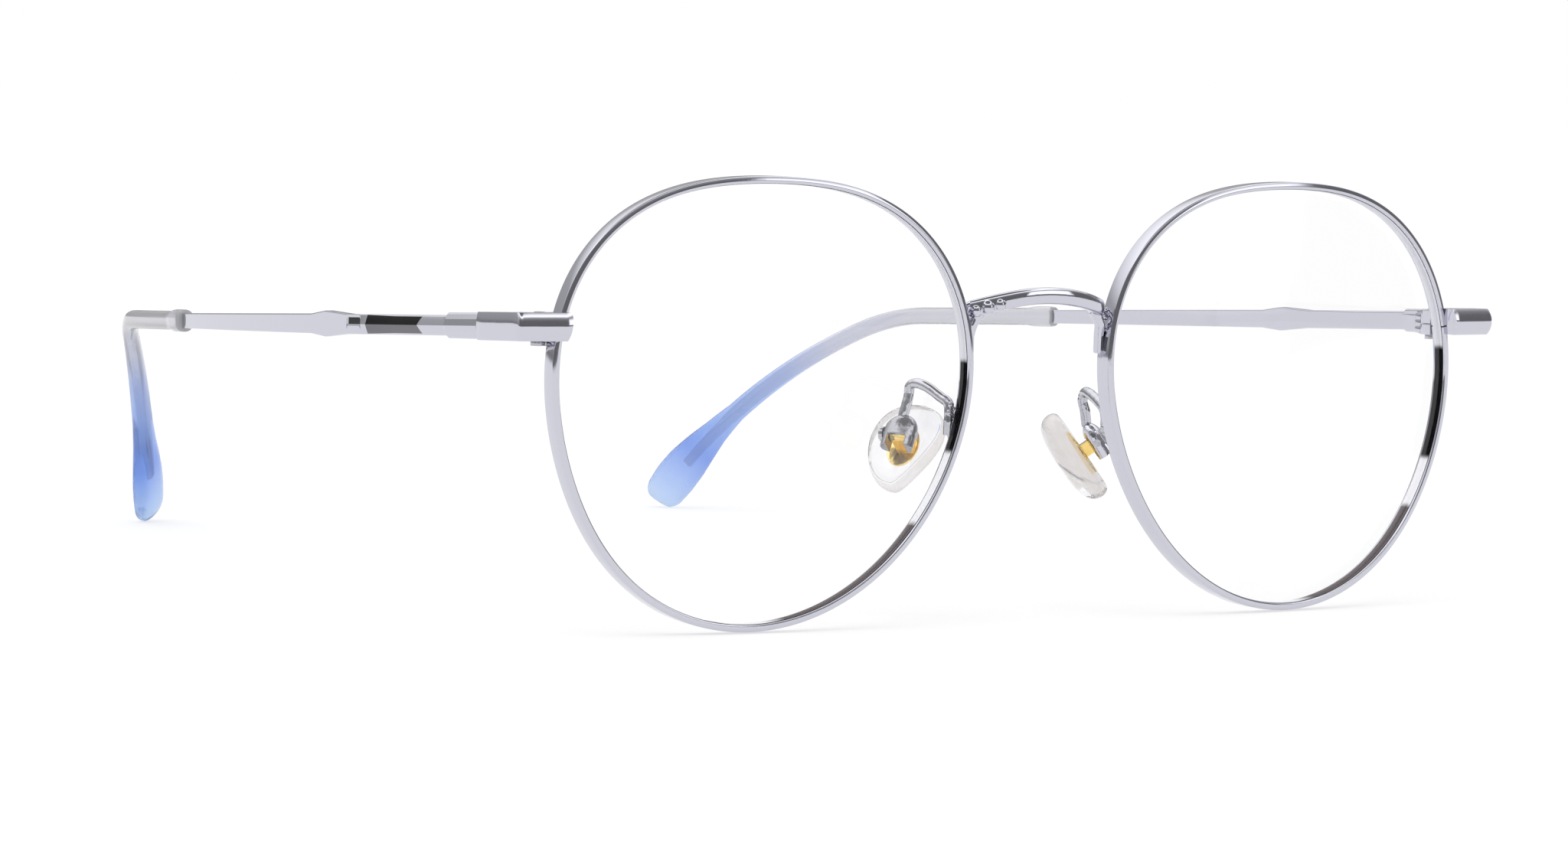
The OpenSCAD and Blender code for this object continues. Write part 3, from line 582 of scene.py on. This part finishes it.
leg_mid_a = side_angle(leg_foot_z + leg_mid_up, 180)
leg_outer_x = rim_point(leg_mid_a, 0, rim_depth / 2)[0] + solder
leg_x = leg_outer_x - leg_w / 2
leg_y = rim_point(leg_mid_a, 0, rim_depth)[1] - leg_t / 2
bar_end_x = leg_outer_x - bar_setback


def oval_ring(centre, across, up, width, height, power=2.6, steps=28):
    """Ring of a rounded section about a centre."""
    ring = []
    for k in range(steps):
        c = cosd(360 * k / steps)
        s = sind(360 * k / steps)
        x = math.copysign(abs(c) ** (2 / power), c) * width / 2
        y = math.copysign(abs(s) ** (2 / power), s) * height / 2
        ring.append(centre + x * across + y * up)
    return ring


def bar_point(x):
    """Middle of the bridge bar at x."""
    f = x / bar_end_x
    return vec(x, bar_y + bow_back * abs(f) ** 3, bridge_rise - arch_fall * f * f)


def make_bridge():
    """Arched bar with a leg at each end, run together with solder lumps."""
    bar = []
    steps = 48
    for k in range(steps + 1):
        x = (2 * bar_end_x + bar_more) * k / steps - bar_end_x - bar_more
        along = unit(bar_point(x + 0.01) - bar_point(x - 0.01))
        across = unit(np.cross(vec(0, 0, 1), along))
        full = 0.88 if k in (0, steps) else bar_swell
        bar.append(oval_ring(bar_point(x), across, np.cross(along, across),
                             bar_t * full, bar_h * full))
    parts = [skin(bar)]
    for side in (1, -1):
        mirror = vec(side, 1, 1)
        cut = bar_point(bar_end_x)
        line = [cut + vec(-1.1, -0.1, -0.2), cut + vec(-0.55, 0, -0.7),
                vec(leg_x - 0.1, leg_y - 0.3, leg_foot_z + 3.1),
                vec(leg_x, leg_y, leg_foot_z + 2), vec(leg_x, leg_y, leg_foot_z + 0.2),
                vec(leg_x, leg_y, leg_foot_z)]
        widths = [1.1, 1.1, 0.95, leg_w, leg_w, leg_w * 0.7]
        rings = []
        for k, point in enumerate(line):
            along = unit(line[min(k + 1, len(line) - 1)] - line[max(k - 1, 0)])
            across = unit(np.cross(vec(0, 1, 0), along))
            rings.append([p * mirror for p in oval_ring(
                point, across, np.cross(along, across), widths[k], leg_t, 4)])
        parts.append(skin(rings))
        for x, r in ((0.1, 0.7), (1.2, 0.8), (2.4, 0.7)) if side < 0 else ():
            lump = bar_point(-bar_end_x + x)
            parts.append(ball(lump + vec(0, lumps_out - bar_t / 2, -lumps_down), r))
        for x, y, z, r in ((0.05, 0.1, 2.75, 0.34), (0.25, -0.35, 2.7, 0.24),
                           (-0.25, 0.3, 2.9, 0.3), (0.15, 0, 0.2, 0.28), (-0.05, -0.2, 4.5, 0.36),
                           (0.35, -0.1, 4.6, 0.36), (0.8, 0, 4.7, 0.36), (0.5, 0.2, 4, 0.42)):
            centre = vec(leg_outer_x - 0.2 + x, leg_y + y, leg_foot_z + z) * mirror
            parts.append(ball(centre, r))
    verts, faces = join(parts)
    shaped("bridge_form", verts, faces, 1, [chrome], ["bridge"], "front", "chrome", sharp=60,
           modifiers=[("REMESH", {"mode": "VOXEL", "voxel_size": 0.07}),
                      ("SMOOTH", {"factor": 0.5, "iterations": 12})])


make_bridge()


# Endpieces


def end_swell(h, crown):
    """How far the endpiece's cushion stands out at height h from its middle."""
    return crown * (1 - abs(2 * h / end_h) ** 2.2)


def make_endpiece(name, side):
    """One cushion-shaped section led from the rim's front round the corner to the hinge."""
    steps = 28
    rows = [-cosd(180 * k / steps) * end_h / 2 for k in range(steps + 1)]
    cut_x = end_rim[0] - end_lap

    def ring_of(front, rear):
        """Ring of the section, its front side bent by rows and its rear side flat."""
        return [rear(-end_h / 2)] + [front(h) for h in rows] + [rear(end_h / 2)]

    def front_y(h, x):
        """Depth of the cushion's front, turned a little outward."""
        back = (x - cut_x) * math.tan(math.radians(end_turn))
        return end_face_y - end_front_t - end_swell(h, end_crown) + back

    def side_x(h):
        """Reach of the cushion's side."""
        return end_outer_x - side_crown + end_swell(h, side_crown)

    def corner_x(h):
        """Where the front ends and the rounded corner starts."""
        return side_x(h) - end_corner_r

    rings = []
    for f in np.linspace(0, 1, 9):
        def front(h, f=f):
            start = cut_x + end_slant * (0.5 - h / end_h)
            x = start + f * (corner_x(h) - start)
            return vec(x, front_y(h, x), end_z + h)

        def rear(h, f=f):
            start = cut_x + end_slant * (0.5 - h / end_h)
            end = end_inner_x - end_inner_r
            return vec(start + f * (end - start), end_face_y, end_z + h)

        rings.append(ring_of(front, rear))
    for turn in (18, 36, 54, 72):
        rings.append(ring_of(
            lambda h, t=turn: vec(
                corner_x(h) + end_corner_r * sind(t),
                front_y(h, corner_x(h)) + end_corner_r * (1 - cosd(t)), end_z + h),
            lambda h, t=turn: vec(
                end_inner_x - end_inner_r * (1 - sind(t)),
                end_face_y + end_inner_r * (1 - cosd(t)), end_z + h)))
    for f in np.linspace(0, 1, 9):
        def front(h, f=f):
            start = front_y(h, corner_x(h)) + end_corner_r
            return vec(side_x(h), start + f * (split_y - start),
                       end_z + h + f * (strip_z - end_z))

        def rear(h, f=f):
            start = end_face_y + end_inner_r
            return vec(end_inner_x, start + f * (split_y - start),
                       end_z + h + f * (strip_z - end_z))

        rings.append(ring_of(front, rear))
    verts, faces = skin(rings)
    shaped(f"endpiece_{name}_form", verts, faces, side, [chrome], [f"endpiece_{name}"],
           "front", "chrome", sharp=30,
           modifiers=[("BEVEL", {"width": end_edge, "segments": 3, "limit_method": "ANGLE",
                                 "angle_limit": math.radians(50)})])


# Temples

bow_turn = math.degrees(bend_at / temple_bow_r)
temple_start = vec(end_outer_x - butt_t / 2, split_y + butt_gap, strip_z)


def bend_share(s):
    """How far the bend is done at s, and how far the stretch behind it."""
    f = min(1, (s - bend_at) / bend_len)
    g = max(0, (s - bend_at - bend_len) / (temple_len - bend_at - bend_len))
    return f, g


def swing(s):
    """Inward angle of the temple at distance s."""
    if s < bend_at:
        return math.degrees(s / temple_bow_r) - splay
    f, g = bend_share(s)
    return (bow_turn - splay) * (1 - f) + bend_swing * f + (end_swing - bend_swing) * g


def drop(s):
    """Downward angle of the temple at distance s."""
    if s < bend_at:
        return slope
    f, g = bend_share(s)
    return slope * (1 - f) + bend_drop * f + (end_drop - bend_drop) * g


LINE_STEP = 0.5
temple_line = [temple_start]
for line_index in range(math.ceil(temple_len / LINE_STEP) + 2):
    line_s = (line_index + 0.5) * LINE_STEP
    line_q = swing(line_s)
    line_p = drop(line_s)
    temple_line.append(temple_line[-1] + LINE_STEP * vec(
        -sind(line_q) * cosd(line_p), cosd(line_q) * cosd(line_p), -sind(line_p)))


def on_temple(s, across, up, roll=0):
    """Point beside the temple's line at distance s."""
    k = int(s / LINE_STEP)
    f = s / LINE_STEP - k
    centre = temple_line[k] * (1 - f) + temple_line[k + 1] * f
    q = swing(s) if s > 0 else 0
    p = drop(s) if s > 0 else 0
    out = vec(cosd(q), sind(q), 0)
    high = vec(-sind(q) * sind(p), cosd(q) * sind(p), cosd(p))
    wide = out * cosd(roll) + high * sind(roll)
    tall = high * cosd(roll) - out * sind(roll)
    return centre + across * wide + up * tall


roof_end = butt_len + roof_len
facet_end = roof_end + facet_len
inset_start = facet_end + inset_gap
inset_end = inset_start + inset_len
flare_mid = inset_end + flare_peak
flare_end = inset_end + flare_len
wire_end = temple_len - wire_short
STEP_LEN = 0.25
SEAM_LEN = 0.05
strip_heights = [(0, butt_h), (butt_len - STEP_LEN, butt_h - butt_taper), (butt_len, neck_h),
                 (inset_end, neck_h), (flare_mid, flare_h), (flare_end, neck_h),
                 (tip_at, tail_h), (wire_end, wire_h)]
strip_thicks = [(0, butt_t), (inset_end, inset_t), (tip_at, tail_t), (wire_end, wire_t)]
strip_crowns = [(0, facet_crown), (facet_end, facet_end_crown),
                (inset_start - STEP_LEN, gap_crown), (inset_start, -inset_depth),
                (inset_end, -inset_depth), (inset_end + STEP_LEN, plain_crown),
                (temple_len, plain_crown)]


def look(s, table):
    """Value of a table of places and values at s."""
    return float(np.interp(s, [row[0] for row in table], [row[1] for row in table]))


def strip_profile(s):
    """Section of the metal strip: thickness outwards and height, with its roof-like outer side."""
    h = look(s, strip_heights) / 2
    t = look(s, strip_thicks) / 2
    crown = look(s, strip_crowns)
    c = strip_edge if s < facet_end else plain_edge
    roof_t = t - (butt_roof if s < butt_len else strip_roof) * crown
    low = (roof_t, -h / 2)
    high = (roof_t, h / 2)
    if crown < 0:
        low = (t, -inset_low * h)
        high = (t + crown, inset_high * h)
    edge_t = t - max(crown, 0)
    return [(edge_t - c, -h), (edge_t, c - h), low, (t + min(crown, 0), 0), high,
            (edge_t, h - c), (edge_t - c, h), (c - t, h), (-t, h - c), (-t, c - h), (c - t, -h)]


def make_temple(name, side):
    """Metal strip whose faceted section is darkened by painted reflection, running on as the core
    wire in the tip.
    """
    stops = [0, 0.4, butt_len / 2, butt_len - STEP_LEN, butt_len, butt_len + 0.5, roof_end,
             roof_end + SEAM_LEN, (roof_end + facet_end) / 2, facet_end, facet_end + 0.35,
             inset_start - STEP_LEN, inset_start, inset_end, inset_end + STEP_LEN,
             (inset_end + flare_mid) / 2, flare_mid - 0.8, flare_mid, flare_mid + 0.8,
             (flare_mid + flare_end) / 2, flare_end]
    stops += list(np.linspace(flare_end, tip_at, 40)[1:])
    stops += list(np.linspace(tip_at, wire_end, 90)[1:])
    rings = []
    for s in stops:
        h = look(s, strip_heights) / 2
        tail = dark_point if roof_end <= s <= roof_end + SEAM_LEN else 0
        ring = []
        for across, up in strip_profile(s):
            back = tail * (1 - abs(up) / h) if across > 0 else 0
            ring.append(on_temple(s + back, across, up))
        rings.append(ring)
    verts, faces = skin(rings)
    dark_from = stops.index(roof_end + SEAM_LEN)
    dark_to = stops.index(facet_end)
    inset = stops.index(inset_start)
    bands = []
    for k in range(len(stops) - 1):
        for i in range(len(rings[0])):
            # Painted reflection on the faceted section: black on its upper facets, dark grey on its
            # lower ones.
            dark = dark_from <= k < dark_to and 1 <= i <= 4
            # The inset's upper face is black: painted shade in the recess.
            black = dark and 3 <= i <= 4 or k == inset and i == 3
            bands.append(2 if black else int(dark))
    shaped(f"temple_{name}_form", verts, faces, side, [chrome, dark_reflection_metal, black_shade_and_reflection],
           [f"temple_{name}"], f"temple_{name}", "chrome", face_materials=bands + [0, 0],
           sharp=10,
           modifiers=[("BEVEL", {"width": strip_bevel, "segments": 2, "limit_method": "ANGLE",
                                 "angle_limit": math.radians(35)})])


# Tips

collar_end = tip_at + collar_len
collar_t = tip_t + 0.2
broadening = [(1, 0.1), (0.76, 0.37), (0.59, 0.67), (0.41, 0.94), (0.26, 1), (0, 0.8)]
tip_heights = [(tip_at, collar_h), (collar_end, collar_h), (collar_end + collar_fall, tip_h),
               (bend_at + bend_len, tip_h)]
tip_heights += [(temple_len - left * paddle_len, tip_h + done * (paddle_h - tip_h))
                for left, done in broadening]
tip_thicks = [(tip_at, collar_t), (collar_end, collar_t), (collar_end + collar_fall, tip_t),
              (bend_at + bend_len, tip_t), (temple_len - paddle_len, paddle_t),
              (temple_len, paddle_t)]


def make_tip(name, side):
    """Clear sleeve that turns blue towards its broad end."""
    sides = 32
    power = 0.8
    stops = [tip_at - 0.2, tip_at - 0.12, tip_at + 0.1, tip_at + 0.5]
    shares = [0.6, 0.86, 0.97, 1]
    for s in np.arange(tip_at + 1, temple_len - 3, 0.6):
        stops.append(float(s))
        shares.append(1)
    for turn in (0, 15, 30, 45, 60, 72, 84):
        stops.append(temple_len - end_round + 2 * sind(turn))
        shares.append(0.3 + 0.7 * cosd(turn) ** 0.7)
    rings = []
    along = []
    for s, share in zip(stops, shares):
        h = look(s, tip_heights) * share
        t = look(s, tip_thicks) * share
        roll = tip_roll * max(0, min(1, (s - bend_at - bend_len) / roll_len))
        ring = []
        for k in range(sides):
            c = cosd(360 * k / sides)
            v = sind(360 * k / sides)
            ring.append(on_temple(s, math.copysign(abs(c) ** power, c) * t / 2,
                                  math.copysign(abs(v) ** power, v) * h / 2, roll))
        rings.append(ring)
        along += [(s - tip_at) / (temple_len - tip_at)] * sides
    verts, faces = skin(rings)
    shaped(f"temple_tip_{name}_form", verts, faces, side, [tip_plastic],
           [f"temple_tip_{name}"], f"temple_{name}", "tip_blue", sharp=50,
           values={"along": along})


for side_name, side_sign in SIDES.items():
    make_endpiece(side_name, side_sign)
    make_temple(side_name, side_sign)
    make_tip(side_name, side_sign)


# Nose pads


def from_pad(x, y, z, side):
    """Place of a point given about the pad screw, before the side is mirrored."""
    flat = x * cosd(pad_tilt) - z * sind(pad_tilt)
    high = x * sind(pad_tilt) + z * cosd(pad_tilt)
    return vec(pad_x + flat * cosd(pad_splay) + y * sind(pad_splay),
               pad_y - flat * sind(pad_splay) + y * cosd(pad_splay),
               high - pad_z - side * pad_uneven / 2)


def make_pad(name, side):
    """Moulded clear pad with a milky border."""
    sides = 32
    levels = [(0.3, 0), (0.84, 0), (0.94, 0.07), (1, 0.3), (0.96, 0.58), (0.86, 0.8),
              (0.6, 0.94), (0.3, 0.99)]
    milky_first = 2
    milky_last = 3
    rings = []
    border = []
    for share, depth in levels:
        ring = []
        for k in range(sides):
            a = 360 * k / sides
            wide = nasal_w + nasal_lean * sind(a)
            if cosd(a) > 0:
                wide = outer_w + outer_lean * sind(a)
            ring.append(from_pad(-pad_stand - depth * pad_t,
                                 pad_shift + share * pad_w * wide * cosd(a),
                                 share * pad_len / 2 * sind(a), side))
            border.append(share if depth < 0.9 else share * 0.6)
        rings.append(ring)
    verts, faces = skin(rings)
    milky = [int(milky_first <= i // sides <= milky_last) for i in range(len(faces))]
    shaped(f"nose_pad_{name}_form", verts, faces, side, [pad_plastic, pad_border],
           [f"nose_pad_{name}"], f"pad_{name}", "pad_clear", face_materials=milky,
           values={"border": border}, sharp=60,
           modifiers=[("SUBSURF", {"levels": 2, "render_levels": 2})])


def make_box(name, side):
    """Domed cup over the pad's tab: a dome, two cheeks and a back, run together."""
    half_w = box_slot_w / 2 + box_cheek_t
    steps = 36
    power = 0.85

    def outline(share, low_x=-9, low_y=-9, high_y=9):
        """The cup's outline, kept to a strip of it."""
        ring = []
        for k in range(steps):
            c = cosd(360 * k / steps)
            v = sind(360 * k / steps)
            x = box_mid_x + share * box_half_x * math.copysign(abs(c) ** power, c)
            y = share * half_w * math.copysign(abs(v) ** power, v)
            ring.append((max(x, low_x), min(max(y, low_y), high_y)))
        return ring

    def column(levels):
        """Closed column over outlines at heights."""
        return skin([[from_pad(x, y, z, side) for x, y in ring] for ring, z in levels])

    def share_at(z):
        """How much of the outline is left at a height."""
        over = max(z - box_dome_z, 0) / (box_up - box_dome_z)
        return math.sqrt(max(0.003, 1 - over ** 2))

    def wall(low, **strip):
        """Part of the cup's side wall, down to a height."""
        heights = (low, box_dome_z, (box_dome_z + box_slot_top) / 2, box_slot_top)
        return column([(outline(share_at(z), **strip), z) for z in heights])

    dome_low = box_slot_top - 0.1
    dome = [(outline(share_at(dome_low)), dome_low)]
    for turn in (24, 36, 48, 60, 70, 79, 87):
        z = box_dome_z + (box_up - box_dome_z) * sind(turn)
        dome.append((outline(share_at(z)), z))
    inner = box_slot_w / 2
    back_x = box_mid_x + box_half_x - box_back_t
    parts = [column(dome), wall(-box_down, low_y=inner), wall(-box_down, high_y=-inner),
             wall(-box_back_low, low_x=back_x)]
    verts, faces = join(parts)
    shaped(f"pad_box_{name}_form", verts, faces, side, [box_chrome[name]], [f"pad_box_{name}"],
           "front", "chrome", sharp=60,
           modifiers=[("REMESH", {"mode": "VOXEL", "voxel_size": 0.05}),
                      ("SMOOTH", {"factor": 0.5, "iterations": 5})])


def blend_knots(a, b, c, d, f):
    """Smooth curve through knots, between b and c."""
    return 0.5 * (2 * b + (c - a) * f + (2 * a - 5 * b + 4 * c - d) * f * f
                  + (3 * b - a - 3 * c + d) * f * f * f)


def make_arm(name, side):
    """Bent wire soldered to the rim, looped over and down into the pad box."""
    top = arm_top_z - side * pad_uneven / 2
    foot = foot_len - side * pad_uneven / 3
    foot_rim = rim_point(side_angle(foot_low_z, 180), 0, rim_depth)
    base = vec(foot_rim[0] + rim_wall / 2 + 0.1, foot_rim[1] + arm_r - solder, foot_low_z)

    def foot_point(up):
        """Place on the soldered foot."""
        return base + vec(0, -0.02 * up, up)

    knots = [foot_point(0), foot_point(foot * 0.55), foot_point(foot) + vec(-0.1, 0.3, 0),
             foot_point(foot + 0.5) + vec(0.1, 1.4, 0),
             vec(pad_x - 2.1, pad_y - 2, top - 0.4), vec(pad_x - 1.75, pad_y - 0.2, top),
             vec(pad_x - 1.45, pad_y + 0.6, top - 0.4), vec(pad_x - 1.5, pad_y + 0.8, top - 1.2),
             vec(pad_x - 1.2, pad_y + 0.65, top - 2.1), from_pad(0.1, 0.3, box_up - 0.3, side)]
    last = len(knots) - 1
    smooth_rounds = 10
    lumps = 9
    line = []
    for k in range(last):
        for f in np.linspace(0, 1, 9)[:-1]:
            line.append(blend_knots(knots[max(k - 1, 0)], knots[k], knots[k + 1],
                                    knots[min(k + 2, last)], f))
    line.append(knots[last])
    for _ in range(smooth_rounds):
        line[1:-1] = [(a + 2 * b + c) / 4 for a, b, c in zip(line, line[1:], line[2:])]
    rings = []
    for k, point in enumerate(line):
        along = unit(line[min(k + 1, len(line) - 1)] - line[max(k - 1, 0)])
        up = unit(np.cross(along, vec(cosd(20), -sind(20), 0)))
        width = 2 * arm_r * (arm_swell + 0.02 * math.sin(k * 1.3) + 0.03 * math.sin(k * 0.4))
        rings.append(oval_ring(point, np.cross(up, along), up, width, width, 2, 16))
    parts = [skin(rings)]
    for k in range(lumps):
        up = foot * k / (lumps - 1) - 0.1
        lump = foot_point(up) + vec(0.28 * math.sin(2.4 * k) - 0.12, -0.28, 0)
        parts.append(ball(lump, 0.3 + 0.07 * math.sin(3.1 * k + 1)))
    verts, faces = join(parts)
    shaped(f"pad_arm_{name}_form", verts, faces, side, [worn_chrome], [f"pad_arm_{name}"],
           "front", "chrome", sharp=60,
           modifiers=[("REMESH", {"mode": "VOXEL", "voxel_size": 0.05}),
                      ("SMOOTH", {"factor": 0.5, "iterations": 3})])


for side_name, side_sign in SIDES.items():
    make_pad(side_name, side_sign)
    make_box(side_name, side_sign)
    make_arm(side_name, side_sign)


# CAD nodes that keep their shape: edges softened, real finishes

KEPT_EDGE = 0.06
KEPT = {
    "rim_lock_upper": chrome, "rim_lock_lower": chrome, "rim_lock_screw": screw_steel,
    "front_hinge": chrome, "temple_hinge": chrome, "hinge_screw": screw_steel,
    "pad_screw": screw_steel, "pad_core": gold,
}
SOFT_EDGE = {"pad_core": 0.04, "pad_screw": 0.05}
for node_name, finish in KEPT.items():
    for side_name in SIDES:
        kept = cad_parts[f"{node_name}_{side_name}"]
        for material_slot in kept.material_slots:
            material_slot.link = "OBJECT"
            material_slot.material = finish
        weld = kept.modifiers.new("Weld", "WELD")
        weld.merge_threshold = 0.001 * MM
        bevel = kept.modifiers.new("Bevel", "BEVEL")
        bevel.width = SOFT_EDGE.get(node_name, KEPT_EDGE) * MM
        bevel.segments = 3
        bevel.limit_method = "ANGLE"
        bevel.angle_limit = math.radians(40)


# Camera at the photograph's viewing angle


def add_camera():
    """Long lens from the wearer's right, a little above the frame, rolled as the photograph is."""
    azimuth = -33
    elevation = 3.953
    roll = math.radians(1.554)
    distance = 571.6
    target = Vector((-33.718, 0, -3.093))
    back = Vector((sind(azimuth) * cosd(elevation), -cosd(azimuth) * cosd(elevation),
                   sind(elevation)))
    right = Vector((cosd(azimuth), sind(azimuth), 0))
    up = back.cross(right)
    rolled = right * math.cos(roll) + up * math.sin(roll)
    high = up * math.cos(roll) - right * math.sin(roll)
    data = bpy.data.cameras.new("camera")
    data.sensor_width = 36
    data.sensor_fit = "HORIZONTAL"
    data.lens = 125.42
    data.clip_start = 0.01
    data.clip_end = 20
    camera = bpy.data.objects.new("camera", data)
    camera.matrix_world = Matrix((
        (rolled.x, high.x, back.x, 0), (rolled.y, high.y, back.y, 0),
        (rolled.z, high.z, back.z, 0), (0, 0, 0, 1)))
    camera.location = (target + back * distance + stand) * MM
    bpy.context.scene.collection.objects.link(camera)
    bpy.context.scene.camera = camera


add_camera()


# Studio: pale floor, soft light, and a room that the metal reflects


def seen_by(nodes, links, *kinds):
    """1 where a ray of one of the kinds looks, else 0."""
    path = nodes.new("ShaderNodeLightPath")
    total = path.outputs[f"Is {kinds[0]} Ray"]
    for kind in kinds[1:]:
        most = nodes.new("ShaderNodeMath")
        most.operation = "MAXIMUM"
        links.new(total, most.inputs[0])
        links.new(path.outputs[f"Is {kind} Ray"], most.inputs[1])
        total = most.outputs[0]
    return total


def mix_shaders(nodes, links, share, first, second):
    """The first shader, giving way to the second by a share."""
    mix = nodes.new("ShaderNodeMixShader")
    links.new(share, mix.inputs["Fac"])
    links.new(first, mix.inputs[1])
    links.new(second, mix.inputs[2])
    return mix.outputs["Shader"]


def mix_colours(nodes, links, kind, first, second, share=None):
    """The second colour put over the first in one of the mix kinds, in full or by a share."""
    mix = nodes.new("ShaderNodeMixRGB")
    mix.blend_type = kind
    mix.inputs["Fac"].default_value = 1
    if share is not None:
        links.new(share, mix.inputs["Fac"])
    links.new(first, mix.inputs["Color1"])
    links.new(second, mix.inputs["Color2"])
    return mix.outputs["Color"]


def add_floor():
    """Pale floor that shows white and keeps a soft shadow."""
    half = 3
    glow_share = 0.55
    mesh = bpy.data.meshes.new("floor")
    mesh.from_pydata([(-half, -half, 0), (half, -half, 0), (half, half, 0), (-half, half, 0)],
                     [], [(0, 1, 2, 3)])
    floor = bpy.data.objects.new("floor", mesh)
    bpy.context.scene.collection.objects.link(floor)
    material, nodes, links, shader = new_material("floor_paper")
    shader.inputs["Base Color"].default_value = (0.93, 0.93, 0.94, 1)
    shader.inputs["Roughness"].default_value = 0.9
    shader.inputs["Specular IOR Level"].default_value = 0
    glow = nodes.new("ShaderNodeEmission")
    glow.inputs["Strength"].default_value = 1.06
    share = nodes.new("ShaderNodeMath")
    share.operation = "MULTIPLY"
    share.inputs[1].default_value = glow_share
    links.new(seen_by(nodes, links, "Camera", "Glossy", "Transmission"), share.inputs[0])
    paper = mix_shaders(nodes, links, share.outputs[0], shader.outputs["BSDF"],
                        glow.outputs["Emission"])
    links.new(paper, nodes["Material Output"].inputs["Surface"])
    mesh.materials.append(material)


def grey_steps(*steps):
    """Ramp stops for levels of grey."""
    return [(place, (level, level, level)) for place, level in steps]


def add_world():
    """White to the eye; the metal sees a dark room with a light sky over it."""
    world = bpy.data.worlds.new("studio")
    world.use_nodes = True
    bpy.context.scene.world = world
    nodes = world.node_tree.nodes
    links = world.node_tree.links
    daylight = nodes["Background"]
    daylight.inputs["Color"].default_value = (1, 1, 1, 1)
    daylight.inputs["Strength"].default_value = 0.8
    white = nodes.new("ShaderNodeBackground")
    white.inputs["Color"].default_value = (1, 1, 1, 1)
    white.inputs["Strength"].default_value = 1
    coords = nodes.new("ShaderNodeTexCoord")
    parts = nodes.new("ShaderNodeSeparateXYZ")
    links.new(coords.outputs["Generated"], parts.inputs["Vector"])
    across = parts.outputs["X"]
    back = parts.outputs["Y"]
    up = parts.outputs["Z"]

    # What the metal sees in front: a dark wall under a light sky, with a bright window
    wall = add_ramp(nodes, links, up, grey_steps(
        (0, 0.1), (0.5, 0.11), (0.68, 0.2), (0.74, 0.4), (0.79, 1), (1, 1)))
    window_across = add_ramp(nodes, links, across, grey_steps(
        (0.38, 0), (0.43, 1), (0.7, 1), (0.75, 0)))
    window_up = add_ramp(nodes, links, up, grey_steps(
        (0.08, 0), (0.14, 1), (0.5, 1), (0.7, 0.2)))
    window = mix_colours(nodes, links, "MULTIPLY", window_across, window_up)
    front = mix_colours(nodes, links, "LIGHTEN", wall, window)

    # What it sees behind: grey, lighter upwards
    rear = add_ramp(nodes, links, up, grey_steps(
        (0, 0.12), (0.1, 0.24), (0.36, 0.3), (0.5, 0.6), (0.7, 0.85), (1, 1)))
    behind = map_range(nodes, links, back, -0.2, 0.4)
    room = nodes.new("ShaderNodeBackground")
    links.new(mix_colours(nodes, links, "MIX", front, rear, behind), room.inputs["Color"])
    links.new(map_range(nodes, links, up, 0.84, 0.92, 1.7, 0.2), room.inputs["Strength"])

    above = map_range(nodes, links, up, 0, 0.02)
    around = mix_shaders(nodes, links, above, white.outputs["Background"],
                         room.outputs["Background"])
    lit = mix_shaders(nodes, links, seen_by(nodes, links, "Glossy"),
                      daylight.outputs["Background"], around)
    shown = mix_shaders(nodes, links, seen_by(nodes, links, "Camera", "Transmission"),
                        lit, white.outputs["Background"])
    links.new(shown, nodes["World Output"].inputs["Surface"])


def add_sun(direction, energy, softness):
    """A soft light from one direction, even over the whole floor."""
    data = bpy.data.lights.new("key", "SUN")
    data.energy = energy
    data.angle = math.radians(softness)
    lamp = bpy.data.objects.new("key", data)
    lamp.rotation_mode = "QUATERNION"
    lamp.rotation_quaternion = Vector(direction).to_track_quat("Z", "Y")
    lamp.visible_glossy = False
    bpy.context.scene.collection.objects.link(lamp)


add_floor()
add_world()
add_sun((-0.4, -0.3, 1), 0.95, 50)

scene = bpy.context.scene
scene.view_settings.view_transform = "Standard"
